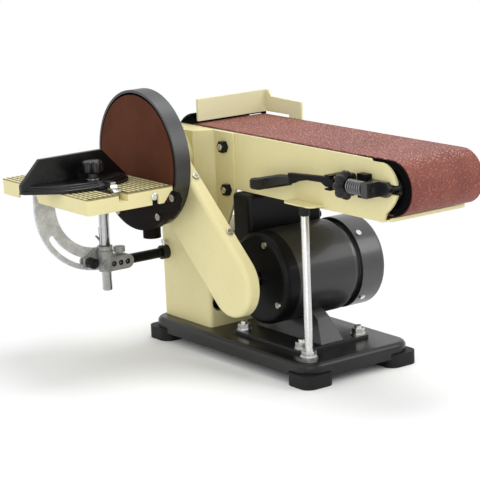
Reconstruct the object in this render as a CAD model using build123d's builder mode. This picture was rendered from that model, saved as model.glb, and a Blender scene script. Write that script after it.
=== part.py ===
"""Belt and disc sander: every piece is built in place, in millimetres.

The origin is on the bench at the middle of the base, X runs along the belt arm to the idler,
Y runs from the disc's side to the fan's side, Z is up. Positions in the planes below are taken
from the spindle axis (X, Z) and from the belt's near edge (Y).
"""
import os
from math import atan2, cos, degrees, hypot, pi, radians, sin, sqrt

from build123d import *

os.makedirs("parts", exist_ok=True)

# Frame: spindle axis and belt edge, from the middle of the base
SPINDLE_X = -103
BELT_NEAR_Y = -30

# Fits and gaps
RUN = 0.03
FREE = 0.3

# Base pan and feet
BASE_LENGTH = 306
BASE_WIDTH = 154
PAN_HEIGHT = 17
PAN_SHEET = 3
PAN_CORNER = 22
PAN_EDGE = 6
BASE_TOP = -204
FOOT_SIZE = 41
FOOT_HEIGHT = 15
FOOT_LIFT = 10
SPINDLE_Z = FOOT_LIFT + PAN_HEIGHT - BASE_TOP
FOOT_PROUD = 4
FOOT_CORNER = 12
FOOT_HOLE = 3
FOOT_SKIN = 3
ROD_IN = 28
ROD_NEAR = 25
ROD_R = 4.5
ROD_TOP = -43
ROD_CAP_R = 6
ROD_BELOW = 6
BOLT_R = 4
NUT_R = 7.5
NUT_HIGH = 6
WASHER_R = 9
WASHER_HIGH = 1.6
HEAD_HIGH = 5
LUG_HIGH = 16
LUG_SIZE = 20
LUG_HOLE = 14

# Belt, drum and idler
BELT_WIDTH = 100
BELT_THICKNESS = 1.2
BELT_RADIUS = 30
CENTRES = 351
DRUM_RADIUS = BELT_RADIUS - BELT_THICKNESS - FREE

# Disc and its guard
DISC_RADIUS = 75
ABRASIVE = 1.2
DISC_PLATE = 12
DISC_FACE_Y = -88.6
GUARD_GAP = 2.5
GUARD_SHEET = 3
GUARD_DEPTH = 20
GUARD_RIM = DISC_RADIUS + GUARD_GAP + GUARD_SHEET
CHUTE_X = 9
CHUTE_R = 10.5
CHUTE_LOW = -93
CHUTE_WALL = 2
NECK_STEP = 1.5
PORT_DEEP = 11
CHUTE_PLATE = 2.5
CHUTE_PLATE_TOP = -43
CHUTE_LIP = 2.5
CHUTE_LIP_DEEP = 8
CHUTE_SCREWS = ((46, -61), (-38, -66), (77, -34.5))
CHUTE_EAR = ((60, -52), (66, CHUTE_PLATE_TOP), (72, -27), (88, -27), (92, -34), (88, -46), (72, -60))

# Spindle
SPINDLE_R = 7.5
BEARING_R = 16
BEARING_WIDE = 9
TUBE_R = 20
TUBE_END_Y = 50
PULLEY_Y = -60
PULLEY_WIDE = 9
SPINDLE_PULLEY_R = 24
MOTOR_PULLEY_R = 28
DRIVE_BELT = 4
FLANGE = 4
GROOVES = 2
HUB_LONG = 10
HUB_WALL = 5
HUB_CLEAR = 4
DISC_RIM = 8
DISC_BOSS = 12
DISC_RECESS = 5
DISC_WEB = 3

# Housing column
COLUMN_LEFT = -44.5
COLUMN_RIGHT = 52
COLUMN_FRONT = -30
COLUMN_BACK = 60
COLUMN_SHEET = 4
DECK_GAP = 4
BRACKET_SHEET = 3
BRACKET_RIGHT = 82
BRACKET_TOP = 29
SLEEVE_R = 8.5
SLEEVE_OUT = 9
SLEEVE_IN = 50
LOCK_SCREW_R = 2
SIDE_HOLE = (-15, -175)
SIDE_HOLE_R = 11
COVER_DEEP = 16
COVER_SHEET = 2.5
COVER_R = 38
COVER_NECK = 7
COVER_EDGE = 6
COVER_SCREWS = (65, 148)
COVER_SCREW_Y = -57
SCREW_HEAD_R = 4.2
SCREW_HEAD_HIGH = 2
CROSS_LONG = 6
CROSS_WIDE = 1
CROSS_DEEP = 0.8

# Motor
MOTOR_X = 143
MOTOR_Z = -129
MOTOR_R = 53.5
MOTOR_SHAFT_R = 7
SHAFT_CLEAR = 2
BELL_FRONT = -26
BELL_DEPTH = 20
MOTOR_END = 74
FAN_FRONT = 85
FAN_END = 120
FAN_BACK = 12
FAN_HUB_R = 13
FAN_HUB_LONG = 16
FAN_BLADE_DEEP = 14
MOTOR_WALL = 4
FOOT_PLATE = 4
MOTOR_BEARING_R = 15
MOTOR_BOLT_X = (-46, 62)
MOTOR_BOLT_Y = (-14, 68)
FOOT_EDGE = 10
PEDESTAL_Y = 25
PEDESTAL_LOW = 17
PEDESTAL_HIGH = 9
STATOR_BORE = 30
STATOR_NEAR = 6
STATOR_FAR = 60
FAN_SCREW_ANGLES = (47, -41, 155, -137)
BELL_SCREW_ANGLES = (69, -32, 159, -122)
BELL_SCREW_R = 3.6
FAN_SCREW_R = 3.4
BOX_LEFT = 83
BOX_RIGHT = 118
BOX_NEAR = -15
BOX_FAR = 90
BOX_TOP = -38.5
BOX_LOW = -100
BOX_WALL = 3
BOX_EDGE = 5.5
SWITCH_X = 100
SWITCH_Z = -58
SWITCH_SIZE = (14, 20)
ROCKER_GAP = 0.5
ROCKER_PIN_R = 1.5
ROCKER_DEEP = 2
GLAND_X = 97
GLAND_Z = -80
GLAND_R = 5
CABLE_R = 2.5

# Belt arm
ARM_GAP = 3
ARM_SHEET = 3
ARM_TOP = 28.8
ARM_LOW = -37
ARM_NOSE = CENTRES - 10
LOBE_R = 88
ARM_BOLTS = ((66, 12), (70, -38))
ARM_BOLT_R = 4
NOSE_LONG = 12
NOSE_DROP = 2.5
NOSE_STEP = 29
TAB_LEFT = 38
TAB_RIGHT = 14
TAB_RISE = 3
TAB_CORNER = 9
PLATEN_SHEET = 3
PLATEN_FROM = 40
SIDE_GAP = 0.7
TRAY_START = 104
TRAY_SHEET = 2
HOOD_R = 43
HOOD_SHEET = 2
HOOD_FROM = 101
HOOD_TO = 215

# Idler carriage, tracking knob and tension lever
AXLE_R = 5
CARRIAGE_THICK = 5.5
CARRIAGE_HIGH = 16
LEVER_Y = -22
IDLER_BEARING_R = 13
IDLER_BEARING_WIDE = 8
BOSS_HALF = 5
TRACK_R = 3
KNOB_X = CENTRES - 52
KNOB_R = 15.5
KNOB_LONG = 13
SPRING_R = 7
SPRING_WIRE = 1
SPRING_TURNS = 7
LEVER_PIVOT_X = CENTRES - 75
TENSION_TRAVEL = 8
LEVER_PIN_R = 3
LEVER_THICK = 8
LEVER_OUTLINE = (
    (6, 5), (-10, 5), (-70, 1), (-71, -1.7), (-90, -3), (-136, -13.5), (-144, -17),
    (-143, -22.4), (-128, -26), (-72, -13), (-72, -10.7), (-10, -5.9), (6, -5.9),
)
CHEEK = 2
CHEEK_Z = 6.2
CHEEK_WIDE = 9

# Fence
FENCE_SHEET = 3
FENCE_LOW = 32.5
FENCE_HIGH = 59
FENCE_LEG = (44, 68)
FENCE_BOLTS = ((50, 14), (62, 14))
FENCE_BOLT_R = 3

# Table and its support
TABLE_TOP = -20.2
TABLE_LEFT = -112
TABLE_RIGHT = 78
TABLE_NEAR = -205
TABLE_GAP = 2
TABLE_THICK = 5
SKIRT_DEPTH = 18
SKIRT_SHEET = 3
SLOT_Y = -158.5
SLOT_WIDE = 12
SLOT_DEEP = 8
BAR_X = -33
BAR_Z = -125
BAR_R = 6
POST_Y = -117
POST_R = 6
TILT_Z = -49
TILT_PIN_R = 3
QUAD_OUT = 85
QUAD_IN = 58
QUAD_FROM = -92
QUAD_TO = -180
SLOT_RING = 75
QUAD_SHEET = 4
STUD_R = 3.5
STUD_DY = -19
BLOCK_HALF = 8.5
BLOCK_SCREWS = (-111, -101.5, -92)
BLOCK_SCREW_R = 3.3
BLOCK_KNOB_Y = -98
POST_BOSS = 3
POST_BOSS_TOP = 16
LUG_NEAR = 7
LUG_THICK = 4
POST_LOW = -157
EAR_THICK = 4
COLLAR_HIGH = 5
COLLAR_R = 8.5
EAR_HALF = 6
TILT_POINTER_HIGH = 21
TILT_POINTER_SHEET = 1.5
TILT_KNOB_R = 6.5

# Mitre gauge
MITRE_X = 16
MITRE_BACK = 10
MITRE_ANGLE = 92
MITRE_PLATE = 9
MITRE_BAR = (-85, 62)
MITRE_STUD_R = 4
STUD_TALL = 20
POINTER_X = 54
POINTER_TIP = 36
POINTER_GAP = 0.6
BLADE_THICK = 6
BLADE_LEFT = -82
BLADE_RIGHT = 60
BLADE_HIGH = 37
MITRE_KNOB_R = 11
SLIDE_GAP = 0.1

# Levels along Y that follow from the sizes above
arm_in = -ARM_GAP
arm_out = arm_in - ARM_SHEET
bracket_in = arm_out - FREE
bracket_out = bracket_in - BRACKET_SHEET
wall_in = COLUMN_FRONT + COLUMN_SHEET
plate_front = DISC_FACE_Y + ABRASIVE
plate_back = plate_front + DISC_PLATE
guard_front = DISC_FACE_Y + 0.6
guard_back = guard_front + GUARD_DEPTH
table_far = DISC_FACE_Y - TABLE_GAP
pan_low = BASE_TOP - PAN_HEIGHT
base_x = -SPINDLE_X
base_y = -BELT_NEAR_Y
deck_top = -LOBE_R - DECK_GAP
tab_low = ARM_LOW + TAB_RISE
cover_front = guard_back
cover_back = cover_front + COVER_DEEP


def across(y):
    """Plane facing -Y at y: local axes are X and Z from the spindle axis."""
    return Plane(origin=(SPINDLE_X, BELT_NEAR_Y + y, SPINDLE_Z), x_dir=(1, 0, 0), z_dir=(0, -1, 0))


def level(z):
    """Plane facing +Z at z: local axes are X from the spindle and Y from the belt's near edge."""
    return Plane(origin=(SPINDLE_X, BELT_NEAR_Y, SPINDLE_Z + z), x_dir=(1, 0, 0), z_dir=(0, 0, 1))


def facing(x):
    """Plane facing +X at x: local axes are Y from the belt's near edge and Z from the spindle."""
    return Plane(origin=(SPINDLE_X + x, BELT_NEAR_Y, SPINDLE_Z), x_dir=(0, 1, 0), z_dir=(1, 0, 0))


def save(piece, name):
    """Labels one finished piece and writes its file."""
    piece.part.label = name
    export_step(piece.part, "parts/" + name + ".step")


# Base pan: pressed sheet, open below, with rounded corners and top edge
motor_bolts = [(MOTOR_X + x, y) for x in MOTOR_BOLT_X for y in MOTOR_BOLT_Y]
column_bolts = [
    (x, y)
    for x in (COLUMN_LEFT + LUG_HOLE, COLUMN_RIGHT - LUG_HOLE)
    for y in (COLUMN_FRONT + LUG_HOLE, COLUMN_BACK - LUG_HOLE)
]
rod_x = base_x + BASE_LENGTH / 2 - ROD_IN
rod_y = base_y - BASE_WIDTH / 2 + ROD_NEAR
with BuildPart() as base_pan:
    with BuildSketch(level(pan_low)):
        with Locations((base_x, base_y)):
            RectangleRounded(BASE_LENGTH, BASE_WIDTH, PAN_CORNER)
    extrude(amount=PAN_HEIGHT)
    fillet(base_pan.faces().sort_by(Axis.Z)[-1].edges(), PAN_EDGE)
    with BuildSketch(level(pan_low)):
        with Locations((base_x, base_y)):
            RectangleRounded(
                BASE_LENGTH - 2 * PAN_SHEET, BASE_WIDTH - 2 * PAN_SHEET, PAN_CORNER - PAN_SHEET
            )
    extrude(amount=PAN_HEIGHT - PAN_SHEET, mode=Mode.SUBTRACT)
    with BuildSketch(level(BASE_TOP)):
        with Locations(*motor_bolts, *column_bolts):
            Circle(BOLT_R + FREE)
        with Locations((rod_x, rod_y)):
            Circle(ROD_R + FREE)
    extrude(amount=-2 * PAN_SHEET, mode=Mode.SUBTRACT)
save(base_pan, "base_pan")

# Rubber: corner feet with a lip round the pan and a bench-bolt hole from below, and the rod's cap
foot_pitch_x = BASE_LENGTH + 2 * FOOT_PROUD - FOOT_SIZE
foot_pitch_y = BASE_WIDTH + 2 * FOOT_PROUD - FOOT_SIZE
with BuildPart() as rubber_feet:
    with BuildSketch(Plane.XY):
        with GridLocations(foot_pitch_x, foot_pitch_y, 2, 2):
            RectangleRounded(FOOT_SIZE, FOOT_SIZE, FOOT_CORNER)
    extrude(amount=FOOT_HEIGHT)
    with BuildSketch(Plane.XY.offset(FOOT_LIFT)):
        RectangleRounded(BASE_LENGTH, BASE_WIDTH, PAN_CORNER)
    extrude(amount=FOOT_HEIGHT, mode=Mode.SUBTRACT)
    with BuildSketch(Plane.XY):
        with GridLocations(foot_pitch_x, foot_pitch_y, 2, 2):
            Circle(FOOT_HOLE)
    extrude(amount=FOOT_LIFT - FOOT_SKIN, mode=Mode.SUBTRACT)
    with BuildSketch(level(ROD_TOP)):
        with Locations((rod_x, rod_y)):
            Circle(ROD_CAP_R)
    extrude(amount=tab_low - FREE - ROD_TOP)
save(rubber_feet, "rubber_feet")

# Support rod: stands in the base under the arm's stop tab
with BuildPart() as support_rod:
    with BuildSketch(level(BASE_TOP - PAN_SHEET - ROD_BELOW)):
        with Locations((rod_x, rod_y)):
            Circle(ROD_R)
    extrude(amount=ROD_TOP - BASE_TOP + PAN_SHEET + ROD_BELOW)
    chamfer(support_rod.faces().sort_by(Axis.Z)[-1].edges(), 0.8)
save(support_rod, "support_rod")

# Base fasteners: motor studs, column screws from below, nut and washer on the rod
with BuildPart() as base_fasteners:
    with BuildSketch(level(BASE_TOP - PAN_SHEET - HEAD_HIGH)):
        with Locations(*motor_bolts, *column_bolts):
            RegularPolygon(NUT_R, 6)
    extrude(amount=HEAD_HIGH)
    with BuildSketch(level(BASE_TOP - PAN_SHEET)):
        with Locations(*motor_bolts):
            Circle(BOLT_R)
    extrude(amount=PAN_SHEET + FOOT_PLATE + WASHER_HIGH + NUT_HIGH + 3)
    with BuildSketch(level(BASE_TOP - PAN_SHEET)):
        with Locations(*column_bolts):
            Circle(BOLT_R)
    extrude(amount=PAN_SHEET + LUG_HOLE)
    with BuildSketch(level(BASE_TOP + FOOT_PLATE)):
        with Locations(*motor_bolts):
            Circle(WASHER_R)
    extrude(amount=WASHER_HIGH)
    with BuildSketch(level(BASE_TOP + FOOT_PLATE + WASHER_HIGH)):
        with Locations(*motor_bolts):
            RegularPolygon(NUT_R, 6)
    extrude(amount=NUT_HIGH)
    with BuildSketch(level(BASE_TOP)):
        with Locations((rod_x, rod_y)):
            Circle(WASHER_R + 1)
            Circle(ROD_R + RUN, mode=Mode.SUBTRACT)
    extrude(amount=WASHER_HIGH)
    with BuildSketch(level(BASE_TOP + WASHER_HIGH)):
        with Locations((rod_x, rod_y)):
            RegularPolygon(NUT_R + 1, 6)
            Circle(ROD_R + RUN, mode=Mode.SUBTRACT)
    extrude(amount=NUT_HIGH)
save(base_fasteners, "base_fasteners")

# Housing column: box on the base, front wall up to the spindle, stepped bracket plate beside the arm
bend_from = TUBE_R + 12
bend_to = bend_from + 14
column_mid = ((COLUMN_LEFT + COLUMN_RIGHT) / 2, (COLUMN_FRONT + COLUMN_BACK) / 2)
column_long = COLUMN_RIGHT - COLUMN_LEFT
column_wide = COLUMN_BACK - COLUMN_FRONT
with BuildPart() as housing_column:
    with BuildSketch(level(BASE_TOP)):
        with Locations(column_mid):
            RectangleRounded(column_long, column_wide, 5)
    extrude(amount=deck_top - BASE_TOP)
    with BuildSketch(level(BASE_TOP)):
        with Locations(column_mid):
            Rectangle(column_long - 2 * COLUMN_SHEET, column_wide - 2 * COLUMN_SHEET)
    extrude(amount=deck_top - BASE_TOP - COLUMN_SHEET, mode=Mode.SUBTRACT)
    with BuildSketch(level(BASE_TOP)):
        with Locations(*column_bolts):
            Rectangle(LUG_SIZE, LUG_SIZE)
    extrude(amount=LUG_HIGH)
    with BuildSketch(level(BASE_TOP)):
        with Locations(*column_bolts):
            Circle(BOLT_R)
    extrude(amount=LUG_HOLE, mode=Mode.SUBTRACT)
    with BuildSketch(level(deck_top - 1)):
        with BuildLine():
            Polyline(
                (COLUMN_LEFT, bracket_out),
                (COLUMN_LEFT, COLUMN_FRONT),
                (bend_from, COLUMN_FRONT),
                (bend_to, bracket_out),
                (BRACKET_RIGHT, bracket_out),
                (BRACKET_RIGHT, bracket_in),
                (bend_to - 1, bracket_in),
                (bend_from - 2, wall_in),
                (COLUMN_LEFT + COLUMN_SHEET, wall_in),
                (COLUMN_LEFT + COLUMN_SHEET, bracket_out),
                close=True,
            )
        make_face()
    extrude(amount=BRACKET_TOP - deck_top + 1)
    with BuildSketch(across(bracket_in + 1)):
        with BuildLine():
            Polyline(
                (BRACKET_RIGHT + 1, -44),
                (BRACKET_RIGHT + 1, deck_top - 2),
                (bend_to + 12, deck_top - 2),
                (BRACKET_RIGHT - 12, -72),
                close=True,
            )
        make_face()
    extrude(amount=BRACKET_SHEET + 2, mode=Mode.SUBTRACT)
    fillet(housing_column.edges().filter_by(Axis.Y).group_by(Axis.Z)[-1].sort_by(Axis.X)[0], 12)
    with BuildSketch(across(wall_in + SLEEVE_IN)):
        with Locations((BAR_X, BAR_Z)):
            Circle(SLEEVE_R)
    extrude(amount=SLEEVE_IN + COLUMN_SHEET + SLEEVE_OUT)
    with BuildSketch(across(wall_in + SLEEVE_IN)):
        with Locations((BAR_X, BAR_Z)):
            Circle(BAR_R + RUN)
    extrude(amount=SLEEVE_IN + COLUMN_SHEET + SLEEVE_OUT, mode=Mode.SUBTRACT)
    with BuildSketch(level(BAR_Z + SLEEVE_R)):
        with Locations((BAR_X, COLUMN_FRONT - SLEEVE_OUT / 2)):
            Circle(LOCK_SCREW_R)
    extrude(amount=-SLEEVE_R, mode=Mode.SUBTRACT)
    with BuildSketch(across(wall_in + 1)):
        Circle(SPINDLE_R + HUB_CLEAR)
    extrude(amount=COLUMN_SHEET + 2, mode=Mode.SUBTRACT)
    with BuildSketch(across(bracket_in + 1)):
        with Locations(*ARM_BOLTS):
            Circle(ARM_BOLT_R + RUN)
    extrude(amount=BRACKET_SHEET + 2, mode=Mode.SUBTRACT)
    with BuildSketch(facing(COLUMN_RIGHT + 1)):
        with Locations(SIDE_HOLE):
            Circle(SIDE_HOLE_R)
    extrude(amount=-COLUMN_SHEET - 2, mode=Mode.SUBTRACT)
save(housing_column, "housing_column")

# Bar lock screw: slotted grub with a head, over the sleeve
with BuildPart() as bar_lock_screw:
    with BuildSketch(level(BAR_Z + BAR_R + 0.5)):
        with Locations((BAR_X, COLUMN_FRONT - SLEEVE_OUT / 2)):
            Circle(LOCK_SCREW_R)
    extrude(amount=SLEEVE_R - BAR_R + 5)
    with BuildSketch(level(BAR_Z + SLEEVE_R + 3)):
        with Locations((BAR_X, COLUMN_FRONT - SLEEVE_OUT / 2)):
            Circle(3.5)
    extrude(amount=4)
save(bar_lock_screw, "bar_lock_screw")

# Bearing tube: flange behind the front wall, carries the spindle and is the arm's pivot
with BuildPart() as bearing_tube:
    with BuildSketch(across(wall_in + FLANGE)):
        Circle(TUBE_R + 9)
    extrude(amount=FLANGE)
    with BuildSketch(across(TUBE_END_Y)):
        Circle(TUBE_R)
    extrude(amount=TUBE_END_Y - wall_in - FLANGE)
    with BuildSketch(across(TUBE_END_Y)):
        Circle(BEARING_R - 3)
    extrude(amount=TUBE_END_Y - wall_in, mode=Mode.SUBTRACT)
    with BuildSketch(across(TUBE_END_Y)):
        Circle(BEARING_R)
    extrude(amount=BEARING_WIDE, mode=Mode.SUBTRACT)
    with BuildSketch(across(wall_in + BEARING_WIDE)):
        Circle(BEARING_R)
    extrude(amount=BEARING_WIDE, mode=Mode.SUBTRACT)
save(bearing_tube, "bearing_tube")

# Spindle bearings: two sealed ball bearings
with BuildPart() as spindle_bearings:
    for back in (wall_in + BEARING_WIDE, TUBE_END_Y):
        with BuildSketch(across(back)):
            Circle(BEARING_R)
            Circle(SPINDLE_R + RUN, mode=Mode.SUBTRACT)
        extrude(amount=BEARING_WIDE)
        with BuildSketch(across(back)):
            Circle(BEARING_R - 2.5)
            Circle(SPINDLE_R + 2.5, mode=Mode.SUBTRACT)
        extrude(amount=0.6, mode=Mode.SUBTRACT)
save(spindle_bearings, "spindle_bearings")

# Spindle shaft: from the disc hub to the far end of the drum
spindle_end = BELT_WIDTH - 4
with BuildPart() as spindle_shaft:
    with BuildSketch(across(spindle_end)):
        Circle(SPINDLE_R)
    extrude(amount=spindle_end - plate_front - DISC_WEB)
    chamfer(spindle_shaft.faces().sort_by(Axis.Y)[-1].edges(), 1)
save(spindle_shaft, "spindle_shaft")

# Belt drum: closed far end on the shaft, hollow over the bearing tube
drum_in = TUBE_R + 3
with BuildPart() as belt_drum:
    with BuildSketch(across(BELT_WIDTH - 2)):
        Circle(DRUM_RADIUS)
        Circle(SPINDLE_R, mode=Mode.SUBTRACT)
    extrude(amount=BELT_WIDTH - 4)
    with BuildSketch(across(TUBE_END_Y + 6)):
        Circle(drum_in)
    extrude(amount=TUBE_END_Y + 6, mode=Mode.SUBTRACT)
save(belt_drum, "belt_drum")

# Pulleys: square grooves between flanges; motor pulley on the motor's axis
pulley_far = PULLEY_Y + PULLEY_WIDE / 2
pulley_sets = (("spindle_pulley", (0, 0), SPINDLE_PULLEY_R, SPINDLE_R),
               ("motor_pulley", (MOTOR_X, MOTOR_Z), MOTOR_PULLEY_R, MOTOR_SHAFT_R))
for pulley_name, centre, pulley_r, bore_r in pulley_sets:
    with BuildPart() as pulley:
        with BuildSketch(across(pulley_far)):
            with Locations(centre):
                Circle(pulley_r)
                Circle(bore_r, mode=Mode.SUBTRACT)
        extrude(amount=PULLEY_WIDE)
        for side in (0, PULLEY_WIDE - 1.5):
            with BuildSketch(across(pulley_far - side)):
                with Locations(centre):
                    Circle(pulley_r + DRIVE_BELT + 1)
                    Circle(bore_r, mode=Mode.SUBTRACT)
            extrude(amount=1.5)
        for groove in range(GROOVES):
            with BuildSketch(across(pulley_far - 3 - groove * 2.5)):
                with Locations(centre):
                    Circle(pulley_r)
                    Circle(pulley_r - 1, mode=Mode.SUBTRACT)
            extrude(amount=1.2, mode=Mode.SUBTRACT)
    save(pulley, pulley_name)

# Drive belt: flat loop round both pulleys
motor_reach = hypot(MOTOR_X, MOTOR_Z)
with BuildPart() as drive_belt:
    for grow, mode in ((DRIVE_BELT, Mode.ADD), (FREE, Mode.SUBTRACT)):
        with BuildSketch(across(pulley_far - 2)):
            Circle(SPINDLE_PULLEY_R + grow)
            with Locations((MOTOR_X, MOTOR_Z)):
                Circle(MOTOR_PULLEY_R + grow)
            make_hull()
        extrude(amount=PULLEY_WIDE - 4, mode=mode)
save(drive_belt, "drive_belt")

# Pulley cover: pressed oblong shell over both pulleys, on a round neck that meets the column
axis_x = MOTOR_X / motor_reach
axis_z = MOTOR_Z / motor_reach
neck_r = COVER_R - COVER_NECK
cover_bore = SPINDLE_R + HUB_WALL + HUB_CLEAR
with BuildPart() as pulley_cover:
    with BuildSketch(across(cover_back)):
        Circle(COVER_R)
        with Locations((MOTOR_X, MOTOR_Z)):
            Circle(COVER_R)
        make_hull()
    extrude(amount=COVER_DEEP)
    fillet(pulley_cover.faces().sort_by(Axis.Y)[0].edges(), COVER_EDGE)
    with BuildSketch(across(COLUMN_FRONT)):
        Circle(neck_r)
    extrude(amount=COLUMN_FRONT - cover_back)
    with BuildSketch(across(cover_back - COVER_SHEET)):
        Circle(COVER_R - COVER_SHEET)
        with Locations((MOTOR_X, MOTOR_Z)):
            Circle(COVER_R - COVER_SHEET)
        make_hull()
    extrude(amount=COVER_DEEP - 2 * COVER_SHEET, mode=Mode.SUBTRACT)
    with BuildSketch(across(COLUMN_FRONT)):
        Circle(neck_r - COVER_SHEET)
    extrude(amount=COLUMN_FRONT - cover_back + COVER_SHEET, mode=Mode.SUBTRACT)
    with BuildSketch(across(COLUMN_FRONT)):
        Circle(cover_bore)
    extrude(amount=COLUMN_FRONT - cover_front, mode=Mode.SUBTRACT)
    with BuildSketch(across(cover_back)):
        with Locations((MOTOR_X, MOTOR_Z)):
            Circle(MOTOR_SHAFT_R + SHAFT_CLEAR)
    extrude(amount=COVER_SHEET, mode=Mode.SUBTRACT)
save(pulley_cover, "pulley_cover")

# Disc plate: cast disc with a hub on the spindle
with BuildPart() as disc_plate:
    with BuildSketch(across(plate_back)):
        Circle(DISC_RADIUS)
        Circle(SPINDLE_R, mode=Mode.SUBTRACT)
    extrude(amount=DISC_PLATE)
    with BuildSketch(across(plate_front + DISC_WEB)):
        Circle(SPINDLE_R)
    extrude(amount=DISC_WEB)
    with BuildSketch(across(plate_back + HUB_LONG)):
        Circle(SPINDLE_R + HUB_WALL)
        Circle(SPINDLE_R, mode=Mode.SUBTRACT)
    extrude(amount=HUB_LONG)
    with BuildSketch(across(plate_back)):
        Circle(DISC_RADIUS - DISC_RIM)
        Circle(SPINDLE_R + DISC_BOSS, mode=Mode.SUBTRACT)
    extrude(amount=DISC_RECESS, mode=Mode.SUBTRACT)
save(disc_plate, "disc_plate")

# Abrasive disc: stuck to the plate's face
with BuildPart() as abrasive_disc:
    with BuildSketch(across(plate_front)):
        Circle(DISC_RADIUS)
    extrude(amount=ABRASIVE)
save(abrasive_disc, "abrasive_disc")

# Disc guard: round pan behind and around the disc, screwed to the face of the pulley cover
chute_y = (guard_front + guard_back) / 2
neck_bore_r = CHUTE_R - CHUTE_WALL - NECK_STEP
with BuildPart() as disc_guard:
    with BuildSketch(across(guard_back)):
        Circle(GUARD_RIM)
    extrude(amount=GUARD_DEPTH)
    with BuildSketch(across(guard_back - GUARD_SHEET)):
        Circle(GUARD_RIM - GUARD_SHEET)
    extrude(amount=GUARD_DEPTH, mode=Mode.SUBTRACT)
    with BuildSketch(across(guard_back)):
        Circle(cover_bore)
    extrude(amount=GUARD_SHEET, mode=Mode.SUBTRACT)
    with BuildSketch(level(-GUARD_RIM - 1)):
        with Locations((CHUTE_X, chute_y)):
            Circle(neck_bore_r)
    extrude(amount=20, mode=Mode.SUBTRACT)
save(disc_guard, "disc_guard")

# Dust chute: lower front guard with a lip over the rim, an ear, and a round outlet below the disc
chute_face = DISC_FACE_Y - 1
lip_far = guard_front + CHUTE_LIP_DEEP
lip_r = GUARD_RIM + CHUTE_LIP
lip_half = sqrt(lip_r**2 - CHUTE_PLATE_TOP**2)
with BuildPart() as dust_chute:
    with BuildSketch(across(lip_far)):
        with BuildLine():
            Line((-lip_half, CHUTE_PLATE_TOP), (lip_half, CHUTE_PLATE_TOP))
            ThreePointArc((lip_half, CHUTE_PLATE_TOP), (0, -lip_r), (-lip_half, CHUTE_PLATE_TOP))
        make_face()
    extrude(amount=lip_far - chute_face + CHUTE_PLATE)
    with BuildSketch(level(CHUTE_LOW)):
        with Locations((CHUTE_X, chute_y)):
            Circle(CHUTE_R)
    extrude(amount=-CHUTE_LOW + CHUTE_PLATE_TOP - 8)
    with BuildSketch(across(guard_back + 20)):
        Circle(GUARD_RIM)
    extrude(amount=20 - DISC_FACE_Y + guard_back + 1, mode=Mode.SUBTRACT)
    with BuildSketch(level(CHUTE_LOW)):
        with Locations((CHUTE_X, chute_y)):
            Circle(neck_bore_r)
    extrude(amount=30, mode=Mode.SUBTRACT)
    with BuildSketch(level(CHUTE_LOW)):
        with Locations((CHUTE_X, chute_y)):
            Circle(CHUTE_R - CHUTE_WALL)
    extrude(amount=PORT_DEEP, mode=Mode.SUBTRACT)
    with BuildSketch(across(chute_face)):
        with BuildLine():
            Polyline(*CHUTE_EAR, close=True)
        make_face()
    extrude(amount=CHUTE_PLATE)
    with BuildSketch(across(chute_face)):
        with Locations(*CHUTE_SCREWS):
            Circle(2)
    extrude(amount=3, mode=Mode.SUBTRACT)
save(dust_chute, "dust_chute")

# Cover screws: pan heads on the chute plate and in the pulley cover's side wall
side_points = [
    (axis_x * along - axis_z * COVER_R, axis_z * along + axis_x * COVER_R)
    for along in COVER_SCREWS
]
chute_front = across(chute_face - CHUTE_PLATE)
screw_planes = [
    Plane(origin=chute_front.from_local_coords((x, z, 0)), x_dir=chute_front.x_dir, z_dir=chute_front.z_dir)
    for x, z in CHUTE_SCREWS
]
for x, z in side_points:
    screw_planes.append(
        Plane(
            origin=(SPINDLE_X + x, BELT_NEAR_Y + COVER_SCREW_Y, SPINDLE_Z + z),
            x_dir=(0, 1, 0),
            z_dir=(-axis_z, 0, axis_x),
        )
    )
with BuildPart() as cover_screws:
    for plane in screw_planes:
        with BuildSketch(plane):
            Circle(SCREW_HEAD_R)
        extrude(amount=SCREW_HEAD_HIGH)
        with BuildSketch(plane.offset(SCREW_HEAD_HIGH)):
            Rectangle(CROSS_LONG, CROSS_WIDE)
            Rectangle(CROSS_WIDE, CROSS_LONG)
        extrude(amount=-CROSS_DEEP, mode=Mode.SUBTRACT)
save(cover_screws, "cover_screws")

# Motor body: plain steel shell, open at both ends
with BuildPart() as motor_body:
    with BuildSketch(across(MOTOR_END)):
        with Locations((MOTOR_X, MOTOR_Z)):
            Circle(MOTOR_R)
            Circle(MOTOR_R - MOTOR_WALL, mode=Mode.SUBTRACT)
    extrude(amount=MOTOR_END - BELL_FRONT - BELL_DEPTH)
save(motor_body, "motor_body")

# Motor end bell: cast cap with the front bearing's seat
with BuildPart() as motor_end_bell:
    with BuildSketch(across(BELL_FRONT + BELL_DEPTH)):
        with Locations((MOTOR_X, MOTOR_Z)):
            Circle(MOTOR_R)
    extrude(amount=BELL_DEPTH)
    fillet(motor_end_bell.faces().sort_by(Axis.Y)[0].edges(), 8)
    with BuildSketch(across(BELL_FRONT + BELL_DEPTH)):
        with Locations((MOTOR_X, MOTOR_Z)):
            Circle(MOTOR_R - MOTOR_WALL - 4)
            Circle(MOTOR_BEARING_R + 4, mode=Mode.SUBTRACT)
    extrude(amount=BELL_DEPTH - 8, mode=Mode.SUBTRACT)
    with BuildSketch(across(BELL_FRONT + BELL_DEPTH)):
        with Locations((MOTOR_X, MOTOR_Z)):
            Circle(MOTOR_BEARING_R)
    extrude(amount=10, mode=Mode.SUBTRACT)
    with BuildSketch(across(BELL_FRONT + BELL_DEPTH)):
        with Locations((MOTOR_X, MOTOR_Z)):
            Circle(MOTOR_SHAFT_R + SHAFT_CLEAR)
    extrude(amount=BELL_DEPTH + 1, mode=Mode.SUBTRACT)
save(motor_end_bell, "motor_end_bell")

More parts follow.
